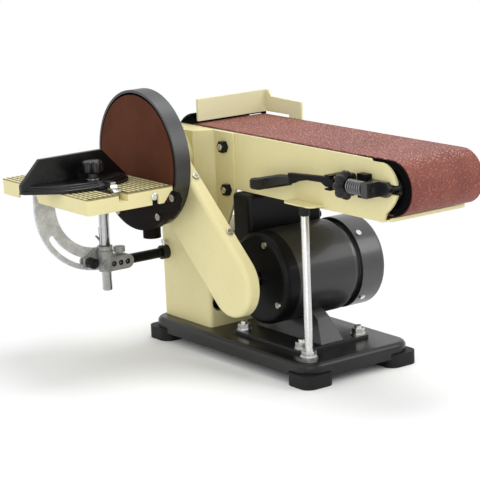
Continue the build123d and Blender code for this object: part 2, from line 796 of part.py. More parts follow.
# Motor fan cover: rear shield with the rear bearing's seat, then a vented cap
shield_r = MOTOR_R - 5
with BuildPart() as motor_fan_cover:
    with BuildSketch(across(FAN_FRONT + 2)):
        with Locations((MOTOR_X, MOTOR_Z)):
            Circle(shield_r)
    extrude(amount=FAN_FRONT + 2 - MOTOR_END)
    with BuildSketch(across(FAN_END)):
        with Locations((MOTOR_X, MOTOR_Z)):
            Circle(MOTOR_R)
    extrude(amount=FAN_END - FAN_FRONT)
    fillet(motor_fan_cover.faces().sort_by(Axis.Y)[-1].edges(), 6)
    with BuildSketch(across(FAN_END - 3)):
        with Locations((MOTOR_X, MOTOR_Z)):
            Circle(MOTOR_R - 3)
    extrude(amount=FAN_END - FAN_FRONT - 6, mode=Mode.SUBTRACT)
    with BuildSketch(across(MOTOR_END + BEARING_WIDE)):
        with Locations((MOTOR_X, MOTOR_Z)):
            Circle(MOTOR_BEARING_R)
    extrude(amount=BEARING_WIDE, mode=Mode.SUBTRACT)
    with BuildSketch(across(FAN_FRONT + 4)):
        with Locations((MOTOR_X, MOTOR_Z)):
            Circle(MOTOR_SHAFT_R + SHAFT_CLEAR)
    extrude(amount=FAN_FRONT + 4 - MOTOR_END, mode=Mode.SUBTRACT)
    for ring_r, slots in ((16, 8), (28, 14), (40, 20)):
        with BuildSketch(across(FAN_END + 1)):
            with Locations((MOTOR_X, MOTOR_Z)):
                with PolarLocations(ring_r, slots):
                    SlotOverall(8, 4)
        extrude(amount=5, mode=Mode.SUBTRACT)
save(motor_fan_cover, "motor_fan_cover")

# Motor foot: plate with a tapered pedestal that is welded under the shell
foot_left = MOTOR_X + MOTOR_BOLT_X[0] - FOOT_EDGE
foot_right = MOTOR_X + MOTOR_BOLT_X[1] + FOOT_EDGE
foot_near = MOTOR_BOLT_Y[0] - FOOT_EDGE
foot_far = MOTOR_BOLT_Y[1] + FOOT_EDGE
shoulder = MOTOR_Z - MOTOR_R + 8
with BuildPart() as motor_foot:
    with BuildSketch(facing(foot_left)):
        with BuildLine():
            Polyline(
                (PEDESTAL_Y - PEDESTAL_LOW, BASE_TOP + 1),
                (PEDESTAL_Y + PEDESTAL_LOW, BASE_TOP + 1),
                (PEDESTAL_Y + PEDESTAL_HIGH, shoulder),
                (PEDESTAL_Y + PEDESTAL_HIGH, MOTOR_Z),
                (PEDESTAL_Y - PEDESTAL_HIGH, MOTOR_Z),
                (PEDESTAL_Y - PEDESTAL_HIGH, shoulder),
                close=True,
            )
        make_face()
    extrude(amount=foot_right - foot_left)
    with BuildSketch(across(foot_far)):
        with BuildLine():
            Polyline(
                (foot_left + 2, BASE_TOP + 1),
                (foot_right - 2, BASE_TOP + 1),
                (MOTOR_X + MOTOR_R, shoulder),
                (MOTOR_X + MOTOR_R - 14, shoulder + 9),
                (MOTOR_X + 14 - MOTOR_R, shoulder + 9),
                (MOTOR_X - MOTOR_R + 6, shoulder),
                close=True,
            )
        make_face()
    extrude(amount=foot_far - foot_near, mode=Mode.INTERSECT)
    with BuildSketch(level(BASE_TOP)):
        with Locations(((foot_left + foot_right) / 2, (foot_near + foot_far) / 2)):
            RectangleRounded(foot_right - foot_left, foot_far - foot_near, 6)
    extrude(amount=FOOT_PLATE)
    with BuildSketch(across(MOTOR_END)):
        with Locations((MOTOR_X, MOTOR_Z)):
            Circle(MOTOR_R)
    extrude(amount=MOTOR_END - BELL_FRONT, mode=Mode.SUBTRACT)
    with BuildSketch(level(BASE_TOP)):
        with Locations(*motor_bolts):
            Circle(BOLT_R + FREE)
    extrude(amount=FOOT_PLATE, mode=Mode.SUBTRACT)
save(motor_foot, "motor_foot")

# Motor screws: through-bolt heads on the end bell and radial screws on the fan cover
bell_ring = MOTOR_R - 9
with BuildPart() as motor_screws:
    with BuildSketch(across(BELL_FRONT)):
        for angle in BELL_SCREW_ANGLES:
            screw_x = MOTOR_X + bell_ring * cos(radians(angle))
            screw_z = MOTOR_Z + bell_ring * sin(radians(angle))
            with Locations((screw_x, screw_z)):
                Circle(BELL_SCREW_R)
    extrude(amount=2.5)
    for angle in FAN_SCREW_ANGLES:
        radial = Plane(
            origin=(
                SPINDLE_X + MOTOR_X + MOTOR_R * cos(radians(angle)),
                BELT_NEAR_Y + FAN_FRONT + 8,
                SPINDLE_Z + MOTOR_Z + MOTOR_R * sin(radians(angle)),
            ),
            z_dir=(cos(radians(angle)), 0, sin(radians(angle))),
        )
        with BuildSketch(radial.offset(-0.5)):
            Circle(FAN_SCREW_R)
        extrude(amount=2.3)
    with BuildSketch(across(FAN_END)):
        with Locations((MOTOR_X, MOTOR_Z)):
            Circle(MOTOR_R)
    extrude(amount=FAN_END - FAN_FRONT, mode=Mode.SUBTRACT)
save(motor_screws, "motor_screws")

# Stator: laminated ring with teeth inside the shell
with BuildPart() as motor_stator:
    with BuildSketch(across(STATOR_FAR)):
        with Locations((MOTOR_X, MOTOR_Z)):
            Circle(MOTOR_R - MOTOR_WALL)
            Circle(STATOR_BORE, mode=Mode.SUBTRACT)
            with PolarLocations(STATOR_BORE + 9, 12):
                SlotOverall(12, 5, mode=Mode.SUBTRACT)
    extrude(amount=STATOR_FAR - STATOR_NEAR)
save(motor_stator, "motor_stator")

# Rotor, motor shaft and fan turn together
with BuildPart() as motor_rotor:
    with BuildSketch(across(STATOR_FAR)):
        with Locations((MOTOR_X, MOTOR_Z)):
            Circle(STATOR_BORE - 0.6)
            Circle(MOTOR_SHAFT_R, mode=Mode.SUBTRACT)
    extrude(amount=STATOR_FAR - STATOR_NEAR)
save(motor_rotor, "motor_rotor")

shaft_near = PULLEY_Y - PULLEY_WIDE / 2
with BuildPart() as motor_shaft:
    with BuildSketch(across(FAN_END - 8)):
        with Locations((MOTOR_X, MOTOR_Z)):
            Circle(MOTOR_SHAFT_R)
    extrude(amount=FAN_END - 8 - shaft_near)
save(motor_shaft, "motor_shaft")

with BuildPart() as motor_fan:
    with BuildSketch(across(FAN_END - FAN_BACK)):
        with Locations((MOTOR_X, MOTOR_Z)):
            Circle(FAN_HUB_R)
            Circle(MOTOR_SHAFT_R, mode=Mode.SUBTRACT)
    extrude(amount=FAN_HUB_LONG)
    with BuildSketch(across(FAN_END - FAN_BACK)):
        with Locations((MOTOR_X, MOTOR_Z)):
            with PolarLocations(27, 8):
                Rectangle(34, 2)
    extrude(amount=FAN_BLADE_DEEP)
    with BuildSketch(across(FAN_END - FAN_BACK)):
        with Locations((MOTOR_X, MOTOR_Z)):
            Circle(MOTOR_SHAFT_R)
    extrude(amount=FAN_HUB_LONG, mode=Mode.SUBTRACT)
save(motor_fan, "motor_fan")

# Motor bearings: one in the end bell, one in the rear shield
with BuildPart() as motor_bearings:
    for back in (BELL_FRONT + BELL_DEPTH - 1, MOTOR_END + BEARING_WIDE):
        with BuildSketch(across(back)):
            with Locations((MOTOR_X, MOTOR_Z)):
                Circle(MOTOR_BEARING_R)
                Circle(MOTOR_SHAFT_R + RUN, mode=Mode.SUBTRACT)
        extrude(amount=BEARING_WIDE)
save(motor_bearings, "motor_bearings")

# Motor box: moulded box that sits on the shell, open towards it
box_mid = ((BOX_LEFT + BOX_RIGHT) / 2, (BOX_NEAR + BOX_FAR) / 2)
with BuildPart() as motor_box:
    with BuildSketch(level(BOX_LOW)):
        with Locations(box_mid):
            RectangleRounded(BOX_RIGHT - BOX_LEFT, BOX_FAR - BOX_NEAR, 6)
    extrude(amount=BOX_TOP - BOX_LOW)
    fillet(motor_box.faces().sort_by(Axis.Z)[-1].edges(), BOX_EDGE)
    with BuildSketch(level(BOX_LOW)):
        with Locations(box_mid):
            Rectangle(BOX_RIGHT - BOX_LEFT - 2 * BOX_WALL, BOX_FAR - BOX_NEAR - 2 * BOX_WALL)
    extrude(amount=BOX_TOP - BOX_LOW - BOX_WALL, mode=Mode.SUBTRACT)
    with BuildSketch(across(FAN_END)):
        with Locations((MOTOR_X, MOTOR_Z)):
            Circle(MOTOR_R)
    extrude(amount=FAN_END - BELL_FRONT, mode=Mode.SUBTRACT)
    with BuildSketch(across(BOX_FAR + 1)):
        with Locations((SWITCH_X, SWITCH_Z)):
            Rectangle(SWITCH_SIZE[0], SWITCH_SIZE[1])
        with Locations((GLAND_X, GLAND_Z)):
            Circle(GLAND_R)
    extrude(amount=BOX_WALL + 2, mode=Mode.SUBTRACT)
save(motor_box, "motor_box")

# Switch: bezel in the box's far wall and a rocker that tips about X
with BuildPart() as switch_bezel:
    with BuildSketch(across(BOX_FAR)):
        with Locations((SWITCH_X, SWITCH_Z)):
            Rectangle(SWITCH_SIZE[0], SWITCH_SIZE[1])
            Rectangle(SWITCH_SIZE[0] - 4, SWITCH_SIZE[1] - 4, mode=Mode.SUBTRACT)
    extrude(amount=10)
    with BuildSketch(across(BOX_FAR + 2)):
        with Locations((SWITCH_X, SWITCH_Z)):
            RectangleRounded(SWITCH_SIZE[0] + 6, SWITCH_SIZE[1] + 6, 2)
            Rectangle(SWITCH_SIZE[0] - 4, SWITCH_SIZE[1] - 4, mode=Mode.SUBTRACT)
    extrude(amount=2)
    with BuildSketch(facing(SWITCH_X - SWITCH_SIZE[0] / 2 + 1)):
        with Locations((BOX_FAR - ROCKER_DEEP, SWITCH_Z)):
            Circle(ROCKER_PIN_R)
    extrude(amount=SWITCH_SIZE[0] - 2)
save(switch_bezel, "switch_bezel")

with BuildPart() as switch_rocker:
    with BuildSketch(facing(SWITCH_X - SWITCH_SIZE[0] / 2 + 2 + ROCKER_GAP)):
        with BuildLine():
            Polyline(
                (BOX_FAR - 5, SWITCH_Z - 5),
                (BOX_FAR + 1.5, SWITCH_Z - 6.5),
                (BOX_FAR + 3, SWITCH_Z),
                (BOX_FAR + 4.5, SWITCH_Z + 6.5),
                (BOX_FAR - 5, SWITCH_Z + 5),
                close=True,
            )
        make_face()
        with Locations((BOX_FAR - ROCKER_DEEP, SWITCH_Z)):
            Circle(ROCKER_PIN_R + RUN, mode=Mode.SUBTRACT)
    extrude(amount=SWITCH_SIZE[0] - 4 - 2 * ROCKER_GAP)
save(switch_rocker, "switch_rocker")

# Cable gland: screwed bush in the box's far wall
with BuildPart() as cable_gland:
    with BuildSketch(across(BOX_FAR + 12)):
        with Locations((GLAND_X, GLAND_Z)):
            Circle(GLAND_R)
            Circle(CABLE_R, mode=Mode.SUBTRACT)
    extrude(amount=12 + BOX_WALL + 3)
    with BuildSketch(across(BOX_FAR + 6)):
        with Locations((GLAND_X, GLAND_Z)):
            RegularPolygon(GLAND_R + 3, 6)
            Circle(CABLE_R, mode=Mode.SUBTRACT)
    extrude(amount=6)
save(cable_gland, "cable_gland")

# Arm frame: folded side plate with a pivot bore, clamp slots, a tray below and a stop tab
notch_half = AXLE_R + FREE
nose_end = CENTRES + NOSE_LONG
nose_top = ARM_TOP - NOSE_DROP
with BuildPart() as arm_frame:
    with BuildSketch(across(arm_in)):
        with BuildLine():
            Polyline((-30, ARM_TOP), (CENTRES - NOSE_STEP, ARM_TOP), (CENTRES - NOSE_STEP + 2, nose_top),
                     (CENTRES - 16, nose_top))
            ThreePointArc((CENTRES - 16, nose_top), (nose_end - 7, 19.5), (nose_end, 7))
            Line((nose_end, 7), (nose_end, -7))
            ThreePointArc((nose_end, -7), (nose_end - 7.5, -18), (nose_end - 18, -27))
            Polyline((nose_end - 18, -27), (ARM_NOSE, ARM_LOW), (-30, ARM_LOW), (-30, ARM_TOP))
        make_face()
        with BuildLine():
            CenterArc((0, 0), LOBE_R, -135, 150)
            Line((0, 0), (LOBE_R * cos(radians(15)), LOBE_R * sin(radians(15))))
            Line((0, 0), (LOBE_R * cos(radians(-135)), LOBE_R * sin(radians(-135))))
        make_face()
        with Locations((-8, 0)):
            Circle(ARM_TOP)
    extrude(amount=ARM_SHEET)
    with BuildSketch(across(arm_in)):
        Circle(TUBE_R + RUN)
        with BuildLine():
            Polyline((CENTRES - 14, notch_half), (nose_end + 1, notch_half), (nose_end + 1, -notch_half),
                     (CENTRES - 14, -notch_half), close=True)
        make_face()
        for bolt_x, bolt_z in ARM_BOLTS:
            with BuildLine() as slot_line:
                CenterArc((0, 0), hypot(bolt_x, bolt_z), degrees(atan2(bolt_z, bolt_x)), -90)
            SlotArc(slot_line.edge(), 2 * (ARM_BOLT_R + FREE))
    extrude(amount=ARM_SHEET, mode=Mode.SUBTRACT)
    with BuildSketch(across(BELT_WIDTH - 2)):
        with BuildLine():
            Polyline((TRAY_START, ARM_LOW), (ARM_NOSE, ARM_LOW), (CENTRES + 2, ARM_LOW + 3),
                     (CENTRES + 2, ARM_LOW + 3 + TRAY_SHEET), (ARM_NOSE, ARM_LOW + TRAY_SHEET),
                     (TRAY_START, ARM_LOW + TRAY_SHEET), close=True)
        make_face()
    extrude(amount=BELT_WIDTH - 2 - arm_in)
    with BuildSketch(level(tab_low)):
        with BuildLine():
            Polyline((rod_x - TAB_LEFT, arm_in), (rod_x - TAB_LEFT, rod_y - 3),
                     (rod_x + TAB_RIGHT, rod_y - 3), (rod_x + TAB_RIGHT, arm_in), close=True)
        make_face()
        fillet(vertices().group_by(Axis.Y)[0], TAB_CORNER)
    extrude(amount=TRAY_SHEET)
save(arm_frame, "arm_frame")

# Arm clamp bolts: hex heads on the bracket, shanks through the arm's slots, nuts inside
with BuildPart() as arm_clamp_bolts:
    with BuildSketch(across(bracket_out)):
        with Locations(*ARM_BOLTS):
            RegularPolygon(NUT_R, 6)
    extrude(amount=NUT_HIGH)
    with BuildSketch(across(arm_in + 1)):
        with Locations(*ARM_BOLTS):
            Circle(ARM_BOLT_R)
    extrude(amount=arm_in + 1 - bracket_out)
    with BuildSketch(across(arm_in + FREE + 2)):
        with Locations(*ARM_BOLTS):
            Circle(ARM_BOLT_R + 2)
    extrude(amount=2)
save(arm_clamp_bolts, "arm_clamp_bolts")

# Platen: channel under the upper run of the belt, flanged to the side plate
platen_top = BELT_RADIUS - BELT_THICKNESS - FREE
platen_to = CENTRES - 51
with BuildPart() as platen:
    with BuildSketch(facing(PLATEN_FROM)):
        with BuildLine():
            Polyline(
                (arm_in, 6), (arm_in, platen_top),
                (BELT_WIDTH + ARM_GAP, platen_top), (BELT_WIDTH + ARM_GAP, 6),
                (BELT_WIDTH + SIDE_GAP, 6), (BELT_WIDTH + SIDE_GAP, platen_top - PLATEN_SHEET),
                (-SIDE_GAP, platen_top - PLATEN_SHEET), (-SIDE_GAP, 6), close=True,
            )
        make_face()
    extrude(amount=platen_to - PLATEN_FROM)
    with BuildSketch(facing(LOBE_R + 4)):
        with Locations((0, 0)):
            Rectangle(2 * ARM_GAP, 2 * (platen_top - PLATEN_SHEET))
    extrude(amount=PLATEN_FROM - LOBE_R - 4, mode=Mode.SUBTRACT)
save(platen, "platen")

# Drum hood: curved black dust cover round the drum's end, fixed to the side plate
hood_in = HOOD_R - HOOD_SHEET
with BuildPart() as drum_hood:
    with BuildSketch(across(BELT_WIDTH + 1)):
        with BuildLine():
            CenterArc((0, 0), HOOD_R, HOOD_FROM, HOOD_TO - HOOD_FROM)
            CenterArc((0, 0), hood_in, HOOD_FROM, HOOD_TO - HOOD_FROM)
            for angle in (HOOD_FROM, HOOD_TO):
                Line(
                    (HOOD_R * cos(radians(angle)), HOOD_R * sin(radians(angle))),
                    (hood_in * cos(radians(angle)), hood_in * sin(radians(angle))),
                )
        make_face()
    extrude(amount=BELT_WIDTH + 1 - arm_in)
save(drum_hood, "drum_hood")

# Sanding belt: one loop round the drum and the idler
with BuildPart() as sanding_belt:
    for radius, mode in ((BELT_RADIUS, Mode.ADD), (BELT_RADIUS - BELT_THICKNESS, Mode.SUBTRACT)):
        with BuildSketch(across(BELT_WIDTH)):
            with Locations((CENTRES / 2, 0)):
                SlotCenterToCenter(CENTRES, 2 * radius)
        extrude(amount=BELT_WIDTH, mode=mode)
save(sanding_belt, "sanding_belt")

# Fence: upright plate across the belt with a wing, its leg bolted to the platen's far flange
fence_y = BELT_WIDTH + ARM_GAP
with BuildPart() as fence:
    with BuildSketch(across(fence_y + FENCE_SHEET)):
        with BuildLine():
            Polyline((-4, FENCE_LOW), (-4, FENCE_HIGH), (4, FENCE_HIGH), (9, FENCE_HIGH - 7.5),
                     (FENCE_LEG[1], FENCE_HIGH - 9), (FENCE_LEG[1], 7), (FENCE_LEG[0], 7),
                     (FENCE_LEG[0], FENCE_LOW), close=True)
        make_face()
    extrude(amount=FENCE_SHEET)
    with BuildSketch(facing(-4)):
        with Locations(((fence_y + 1 + 2) / 2, (FENCE_LOW + FENCE_HIGH) / 2)):
            Rectangle(fence_y + 1 - 2, FENCE_HIGH - FENCE_LOW)
    extrude(amount=FENCE_SHEET)
    with BuildSketch(across(fence_y + FENCE_SHEET)):
        with Locations(*FENCE_BOLTS):
            Circle(FENCE_BOLT_R)
    extrude(amount=FENCE_SHEET, mode=Mode.SUBTRACT)
save(fence, "fence")

with BuildPart() as fence_bolts:
    with BuildSketch(across(fence_y + FENCE_SHEET + 4)):
        with Locations(*FENCE_BOLTS):
            RegularPolygon(FENCE_BOLT_R + 2, 6)
    extrude(amount=4)
    with BuildSketch(across(fence_y + FENCE_SHEET)):
        with Locations(*FENCE_BOLTS):
            Circle(FENCE_BOLT_R)
    extrude(amount=FENCE_SHEET)
save(fence_bolts, "fence_bolts")

# Idler roller on two bearings, turning on the axle
with BuildPart() as idler_roller:
    with BuildSketch(across(BELT_WIDTH - 1)):
        with Locations((CENTRES, 0)):
            Circle(DRUM_RADIUS)
            Circle(IDLER_BEARING_R - 1, mode=Mode.SUBTRACT)
    extrude(amount=BELT_WIDTH - 2)
    for back in (BELT_WIDTH - 1, 1 + IDLER_BEARING_WIDE):
        with BuildSketch(across(back)):
            with Locations((CENTRES, 0)):
                Circle(IDLER_BEARING_R)
        extrude(amount=IDLER_BEARING_WIDE, mode=Mode.SUBTRACT)
save(idler_roller, "idler_roller")

with BuildPart() as idler_bearings:
    for back in (BELT_WIDTH - 1, 1 + IDLER_BEARING_WIDE):
        with BuildSketch(across(back)):
            with Locations((CENTRES, 0)):
                Circle(IDLER_BEARING_R)
                Circle(AXLE_R + RUN, mode=Mode.SUBTRACT)
        extrude(amount=IDLER_BEARING_WIDE)
save(idler_bearings, "idler_bearings")

# Carriage: flat slider outside the side plate with a boss for the tracking stud
carriage_far = arm_out - 1
carriage_near = carriage_far - CARRIAGE_THICK
carriage_from = CENTRES - 42
boss_x = CENTRES - 13
stud_x = KNOB_X - KNOB_LONG / 2 - 2
with BuildPart() as idler_carriage:
    with BuildSketch(across(carriage_far)):
        with BuildLine():
            Polyline((carriage_from, CARRIAGE_HIGH / 2), (CENTRES + 2, CARRIAGE_HIGH / 2),
                     (CENTRES + 8, CARRIAGE_HIGH / 2 - 6), (CENTRES + 8, 6 - CARRIAGE_HIGH / 2),
                     (CENTRES + 2, -CARRIAGE_HIGH / 2), (carriage_from, -CARRIAGE_HIGH / 2), close=True)
        make_face()
        with Locations((CENTRES, 0)):
            Circle(AXLE_R, mode=Mode.SUBTRACT)
    extrude(amount=CARRIAGE_THICK)
    with BuildSketch(facing(boss_x - BOSS_HALF)):
        with BuildLine():
            Polyline((carriage_near, 8), (carriage_near, -8), (LEVER_Y - 7, -8), (LEVER_Y - 7, 8), close=True)
        make_face()
    extrude(amount=2 * BOSS_HALF)
    with BuildSketch(facing(stud_x)):
        with Locations((LEVER_Y, 0)):
            Circle(TRACK_R)
    extrude(amount=boss_x + 9 - stud_x)
save(idler_carriage, "idler_carriage")

with BuildPart() as idler_axle:
    with BuildSketch(across(BELT_WIDTH + 5)):
        with Locations((CENTRES, 0)):
            Circle(AXLE_R)
    extrude(amount=BELT_WIDTH + 5 - carriage_near)
    with BuildSketch(across(BELT_WIDTH + 4)):
        with Locations((CENTRES, 0)):
            RegularPolygon(9, 6)
    extrude(amount=4)
save(idler_axle, "idler_axle")

# Slide guides: two rails with lips that hold the carriage to the side plate
guide_from = carriage_from + 1
guide_to = boss_x - BOSS_HALF - TENSION_TRAVEL - FREE
with BuildPart() as slide_guides:
    for side in (-1, 1):
        edge = side * (CARRIAGE_HIGH / 2 + SLIDE_GAP)
        with BuildSketch(facing(guide_from)):
            with BuildLine():
                Polyline((arm_out, edge), (arm_out, edge + side * 5), (carriage_near - 2, edge + side * 5),
                         (carriage_near - 2, edge - side * 3), (carriage_near - SLIDE_GAP, edge - side * 3),
                         (carriage_near - SLIDE_GAP, edge), close=True)
            make_face()
        extrude(amount=guide_to - guide_from)
save(slide_guides, "slide_guides")

# Tracking knob: lobed grip that turns on the carriage's stud
with BuildPart() as tracking_knob:
    with BuildSketch(facing(KNOB_X - KNOB_LONG / 2)):
        with Locations((LEVER_Y, 0)):
            Circle(KNOB_R - 2)
            with PolarLocations(KNOB_R - 4, 6):
                Circle(4)
            Circle(TRACK_R + RUN, mode=Mode.SUBTRACT)
    extrude(amount=KNOB_LONG)
save(tracking_knob, "tracking_knob")

# Tracking spring: round wire between the knob and the boss, closed by biarcs of a quarter turn
spring_from = KNOB_X + KNOB_LONG / 2 + SPRING_WIRE + 0.4
spring_to = boss_x - BOSS_HALF - SPRING_WIRE - 0.4
spring_pitch = (spring_to - spring_from) / SPRING_TURNS
quarters = 4 * SPRING_TURNS


def coil(turn):
    """Point and unit tangent on the spring's centre line after a number of turns."""
    angle = 2 * pi * turn
    slope = spring_pitch / (2 * pi)
    point = Vector(
        SPINDLE_X + spring_from + spring_pitch * turn,
        BELT_NEAR_Y + LEVER_Y + SPRING_R * cos(angle),
        SPINDLE_Z + SPRING_R * sin(angle),
    )
    tangent = Vector(slope, -SPRING_R * sin(angle), SPRING_R * cos(angle)).normalized()
    return point, tangent


with BuildPart() as tracking_spring:
    with BuildLine() as spring_path:
        for quarter in range(quarters):
            start, start_dir = coil(quarter / 4)
            end, end_dir = coil((quarter + 1) / 4)
            chord = end - start
            both = start_dir + end_dir
            b = chord.dot(both)
            a = 2 * (1 - start_dir.dot(end_dir))
            reach = (sqrt(b * b + a * chord.dot(chord)) - b) / a
            middle = (start + start_dir * reach + end - end_dir * reach) * 0.5
            TangentArc(start, middle, tangent=start_dir)
            TangentArc(middle, end, tangent=end_dir * -1, tangent_from_first=False)
    with BuildSketch(Plane(origin=coil(0)[0], z_dir=coil(0)[1])):
        Circle(SPRING_WIRE)
    sweep()
points = [coil(step / 48)[0] for step in range(48 * SPRING_TURNS + 1)]
spring_gap = min(
    (points[i] - points[j]).length
    for i in range(len(points))
    for j in range(i + 30, min(i + 70, len(points)))
)
print("least gap of the spring to itself", round(spring_gap - 2 * SPRING_WIRE, 2))
save(tracking_spring, "tracking_spring")

# Lever bracket: cheeks on the side plate that hold the lever's upright pin
with BuildPart() as lever_bracket:
    with BuildSketch(level(-CHEEK_Z - CHEEK)):
        with Locations((LEVER_PIVOT_X, (arm_out + LEVER_Y - 6) / 2)):
            Rectangle(CHEEK_WIDE, arm_out - LEVER_Y + 6)
    extrude(amount=2 * (CHEEK_Z + CHEEK))
    with BuildSketch(level(-CHEEK_Z)):
        with Locations((LEVER_PIVOT_X, (arm_out - 4 + LEVER_Y - 6) / 2)):
            Rectangle(CHEEK_WIDE + 1, arm_out - 4 - LEVER_Y + 6)
    extrude(amount=2 * CHEEK_Z, mode=Mode.SUBTRACT)
    with BuildSketch(level(-CHEEK_Z - CHEEK)):
        with Locations((LEVER_PIVOT_X, LEVER_Y)):
            Circle(LEVER_PIN_R)
    extrude(amount=2 * (CHEEK_Z + CHEEK))
save(lever_bracket, "lever_bracket")

# Tension lever: flat bar from the pin to a long grip that drops at its end
with BuildPart() as tension_lever:
    with BuildSketch(across(LEVER_Y + LEVER_THICK / 2)):
        with BuildLine():
            Polyline(*[(LEVER_PIVOT_X + x, z) for x, z in LEVER_OUTLINE], close=True)
        make_face()
    extrude(amount=LEVER_THICK)
    with BuildSketch(level(-CHEEK_Z)):
        with Locations((LEVER_PIVOT_X, LEVER_Y)):
            Circle(LEVER_PIN_R + RUN)
    extrude(amount=2 * CHEEK_Z, mode=Mode.SUBTRACT)
save(tension_lever, "tension_lever")

# Support bar: slides in the column's sleeve and carries the clamp block
boss_r = POST_R + POST_BOSS
block_near = POST_Y - boss_r
block_far = BLOCK_SCREWS[-1] + BLOCK_HALF
block_low = BAR_Z - BLOCK_HALF
block_top = BAR_Z + POST_BOSS_TOP
bar_near = POST_Y + boss_r
bar_far = wall_in + SLEEVE_IN + 12
with BuildPart() as support_bar:
    with BuildSketch(across(bar_far)):
        with Locations((BAR_X, BAR_Z)):
            Circle(BAR_R)
    extrude(amount=bar_far - bar_near)
save(support_bar, "support_bar")

block_holes = [(y, BAR_Z) for y in BLOCK_SCREWS]
with BuildPart() as clamp_block:
    with BuildSketch(facing(BAR_X - BLOCK_HALF)):
        with Locations(((POST_Y + BLOCK_SCREWS[-1]) / 2, BAR_Z)):
            SlotCenterToCenter(BLOCK_SCREWS[-1] - POST_Y, 2 * BLOCK_HALF)
    extrude(amount=2 * BLOCK_HALF)
    with BuildSketch(level(block_low)):
        with Locations((BAR_X, POST_Y)):
            Circle(boss_r)
    extrude(amount=block_top - block_low)
    with BuildSketch(level(block_low)):
        with Locations((BAR_X, POST_Y)):
            Circle(POST_R + RUN)
    extrude(amount=block_top - block_low, mode=Mode.SUBTRACT)
    with BuildSketch(across(block_far)):
        with Locations((BAR_X, BAR_Z)):
            Circle(BAR_R)
    extrude(amount=block_far - bar_near, mode=Mode.SUBTRACT)
    with BuildSketch(facing(BAR_X + boss_r)):
        with Locations(*block_holes):
            Circle(BLOCK_SCREW_R)
    extrude(amount=-2, mode=Mode.SUBTRACT)
save(clamp_block, "clamp_block")

with BuildPart() as clamp_screws:
    with BuildSketch(facing(BAR_X + boss_r - 2)):
        with Locations(*block_holes):
            Circle(BLOCK_SCREW_R)
            RegularPolygon(1.5, 6, mode=Mode.SUBTRACT)
    extrude(amount=1.5)
    with BuildSketch(level(BAR_Z + BLOCK_HALF)):
        with Locations((BAR_X, BLOCK_KNOB_Y)):
            Circle(3)
    extrude(amount=3)
    with BuildSketch(level(BAR_Z + BLOCK_HALF + 3)):
        with Locations((BAR_X, BLOCK_KNOB_Y)):
            Circle(7)
    extrude(amount=6)
save(clamp_screws, "clamp_screws")

# Post: slides in the block, with the tilt pin through its head
post_top = TILT_Z + 7
pin_half = LUG_NEAR + LUG_THICK
with BuildPart() as table_post:
    with BuildSketch(level(POST_LOW)):
        with Locations((BAR_X, POST_Y)):
            Circle(POST_R)
    extrude(amount=post_top - POST_LOW)
    chamfer(table_post.faces().sort_by(Axis.Z)[0].edges(), 1)
    with BuildSketch(facing(BAR_X - pin_half)):
        with Locations((POST_Y, TILT_Z)):
            Circle(TILT_PIN_R)
    extrude(amount=2 * pin_half)
save(table_post, "table_post")

# Tilt bracket: collar on the post with an ear that holds the tilt stud and the pointer
stud_y = POST_Y + STUD_DY
stud_z = TILT_Z - sqrt(SLOT_RING**2 - STUD_DY**2)
quad_far_x = BAR_X - pin_half
quad_near_x = quad_far_x - QUAD_SHEET
ear_x = quad_far_x + FREE
collar_low = block_top + 0.5
collar_top = collar_low + COLLAR_HIGH
pointer_top = collar_top + TILT_POINTER_HIGH
with BuildPart() as tilt_bracket:
    with BuildSketch(level(collar_low)):
        with Locations((BAR_X, POST_Y)):
            Circle(COLLAR_R)
            Circle(POST_R, mode=Mode.SUBTRACT)
    extrude(amount=COLLAR_HIGH)
    with BuildSketch(facing(ear_x)):
        with BuildLine():
            Polyline((stud_y - EAR_HALF, stud_z - EAR_HALF), (stud_y - EAR_HALF, stud_z + EAR_HALF),
                     (POST_Y - 2, collar_top), (POST_Y + 2, collar_top),
                     (POST_Y + 2, collar_low), (block_near - 0.5, collar_low),
                     (block_near - 0.5, stud_z - EAR_HALF), close=True)
        make_face()
    extrude(amount=EAR_THICK)
    with BuildSketch(facing(ear_x)):
        with BuildLine():
            Polyline((POST_Y + 1.5, collar_top - 1), (POST_Y + 1.5, pointer_top), (POST_Y - 1.5, pointer_top),
                     (POST_Y - 1.5, pointer_top - 13), (POST_Y - 5.5, pointer_top - 9),
                     (POST_Y - 7, pointer_top - 10), (POST_Y - 1.5, pointer_top - 17),
                     (POST_Y - 1.5, collar_top - 1), close=True)
        make_face()
    extrude(amount=TILT_POINTER_SHEET)
    with BuildSketch(level(collar_low)):
        with Locations((BAR_X, POST_Y)):
            Circle(POST_R)
    extrude(amount=COLLAR_HIGH, mode=Mode.SUBTRACT)
    with BuildSketch(facing(quad_near_x - 4)):
        with Locations((stud_y, stud_z)):
            Circle(STUD_R)
    extrude(amount=ear_x + EAR_THICK + 15 - quad_near_x + 4)
    with BuildSketch(facing(quad_near_x - FREE)):
        with Locations((stud_y, stud_z)):
            Circle(STUD_R + 3)
    extrude(amount=-3)
save(tilt_bracket, "tilt_bracket")

# Tilt knob: turns on the stud to clamp the quadrant
with BuildPart() as tilt_knob:
    with BuildSketch(facing(ear_x + EAR_THICK + FREE)):
        with Locations((stud_y, stud_z)):
            Circle(TILT_KNOB_R - 1.2)
            with PolarLocations(TILT_KNOB_R - 2, 8):
                Circle(2)
            Circle(STUD_R + RUN, mode=Mode.SUBTRACT)
    extrude(amount=13)
save(tilt_knob, "tilt_knob")

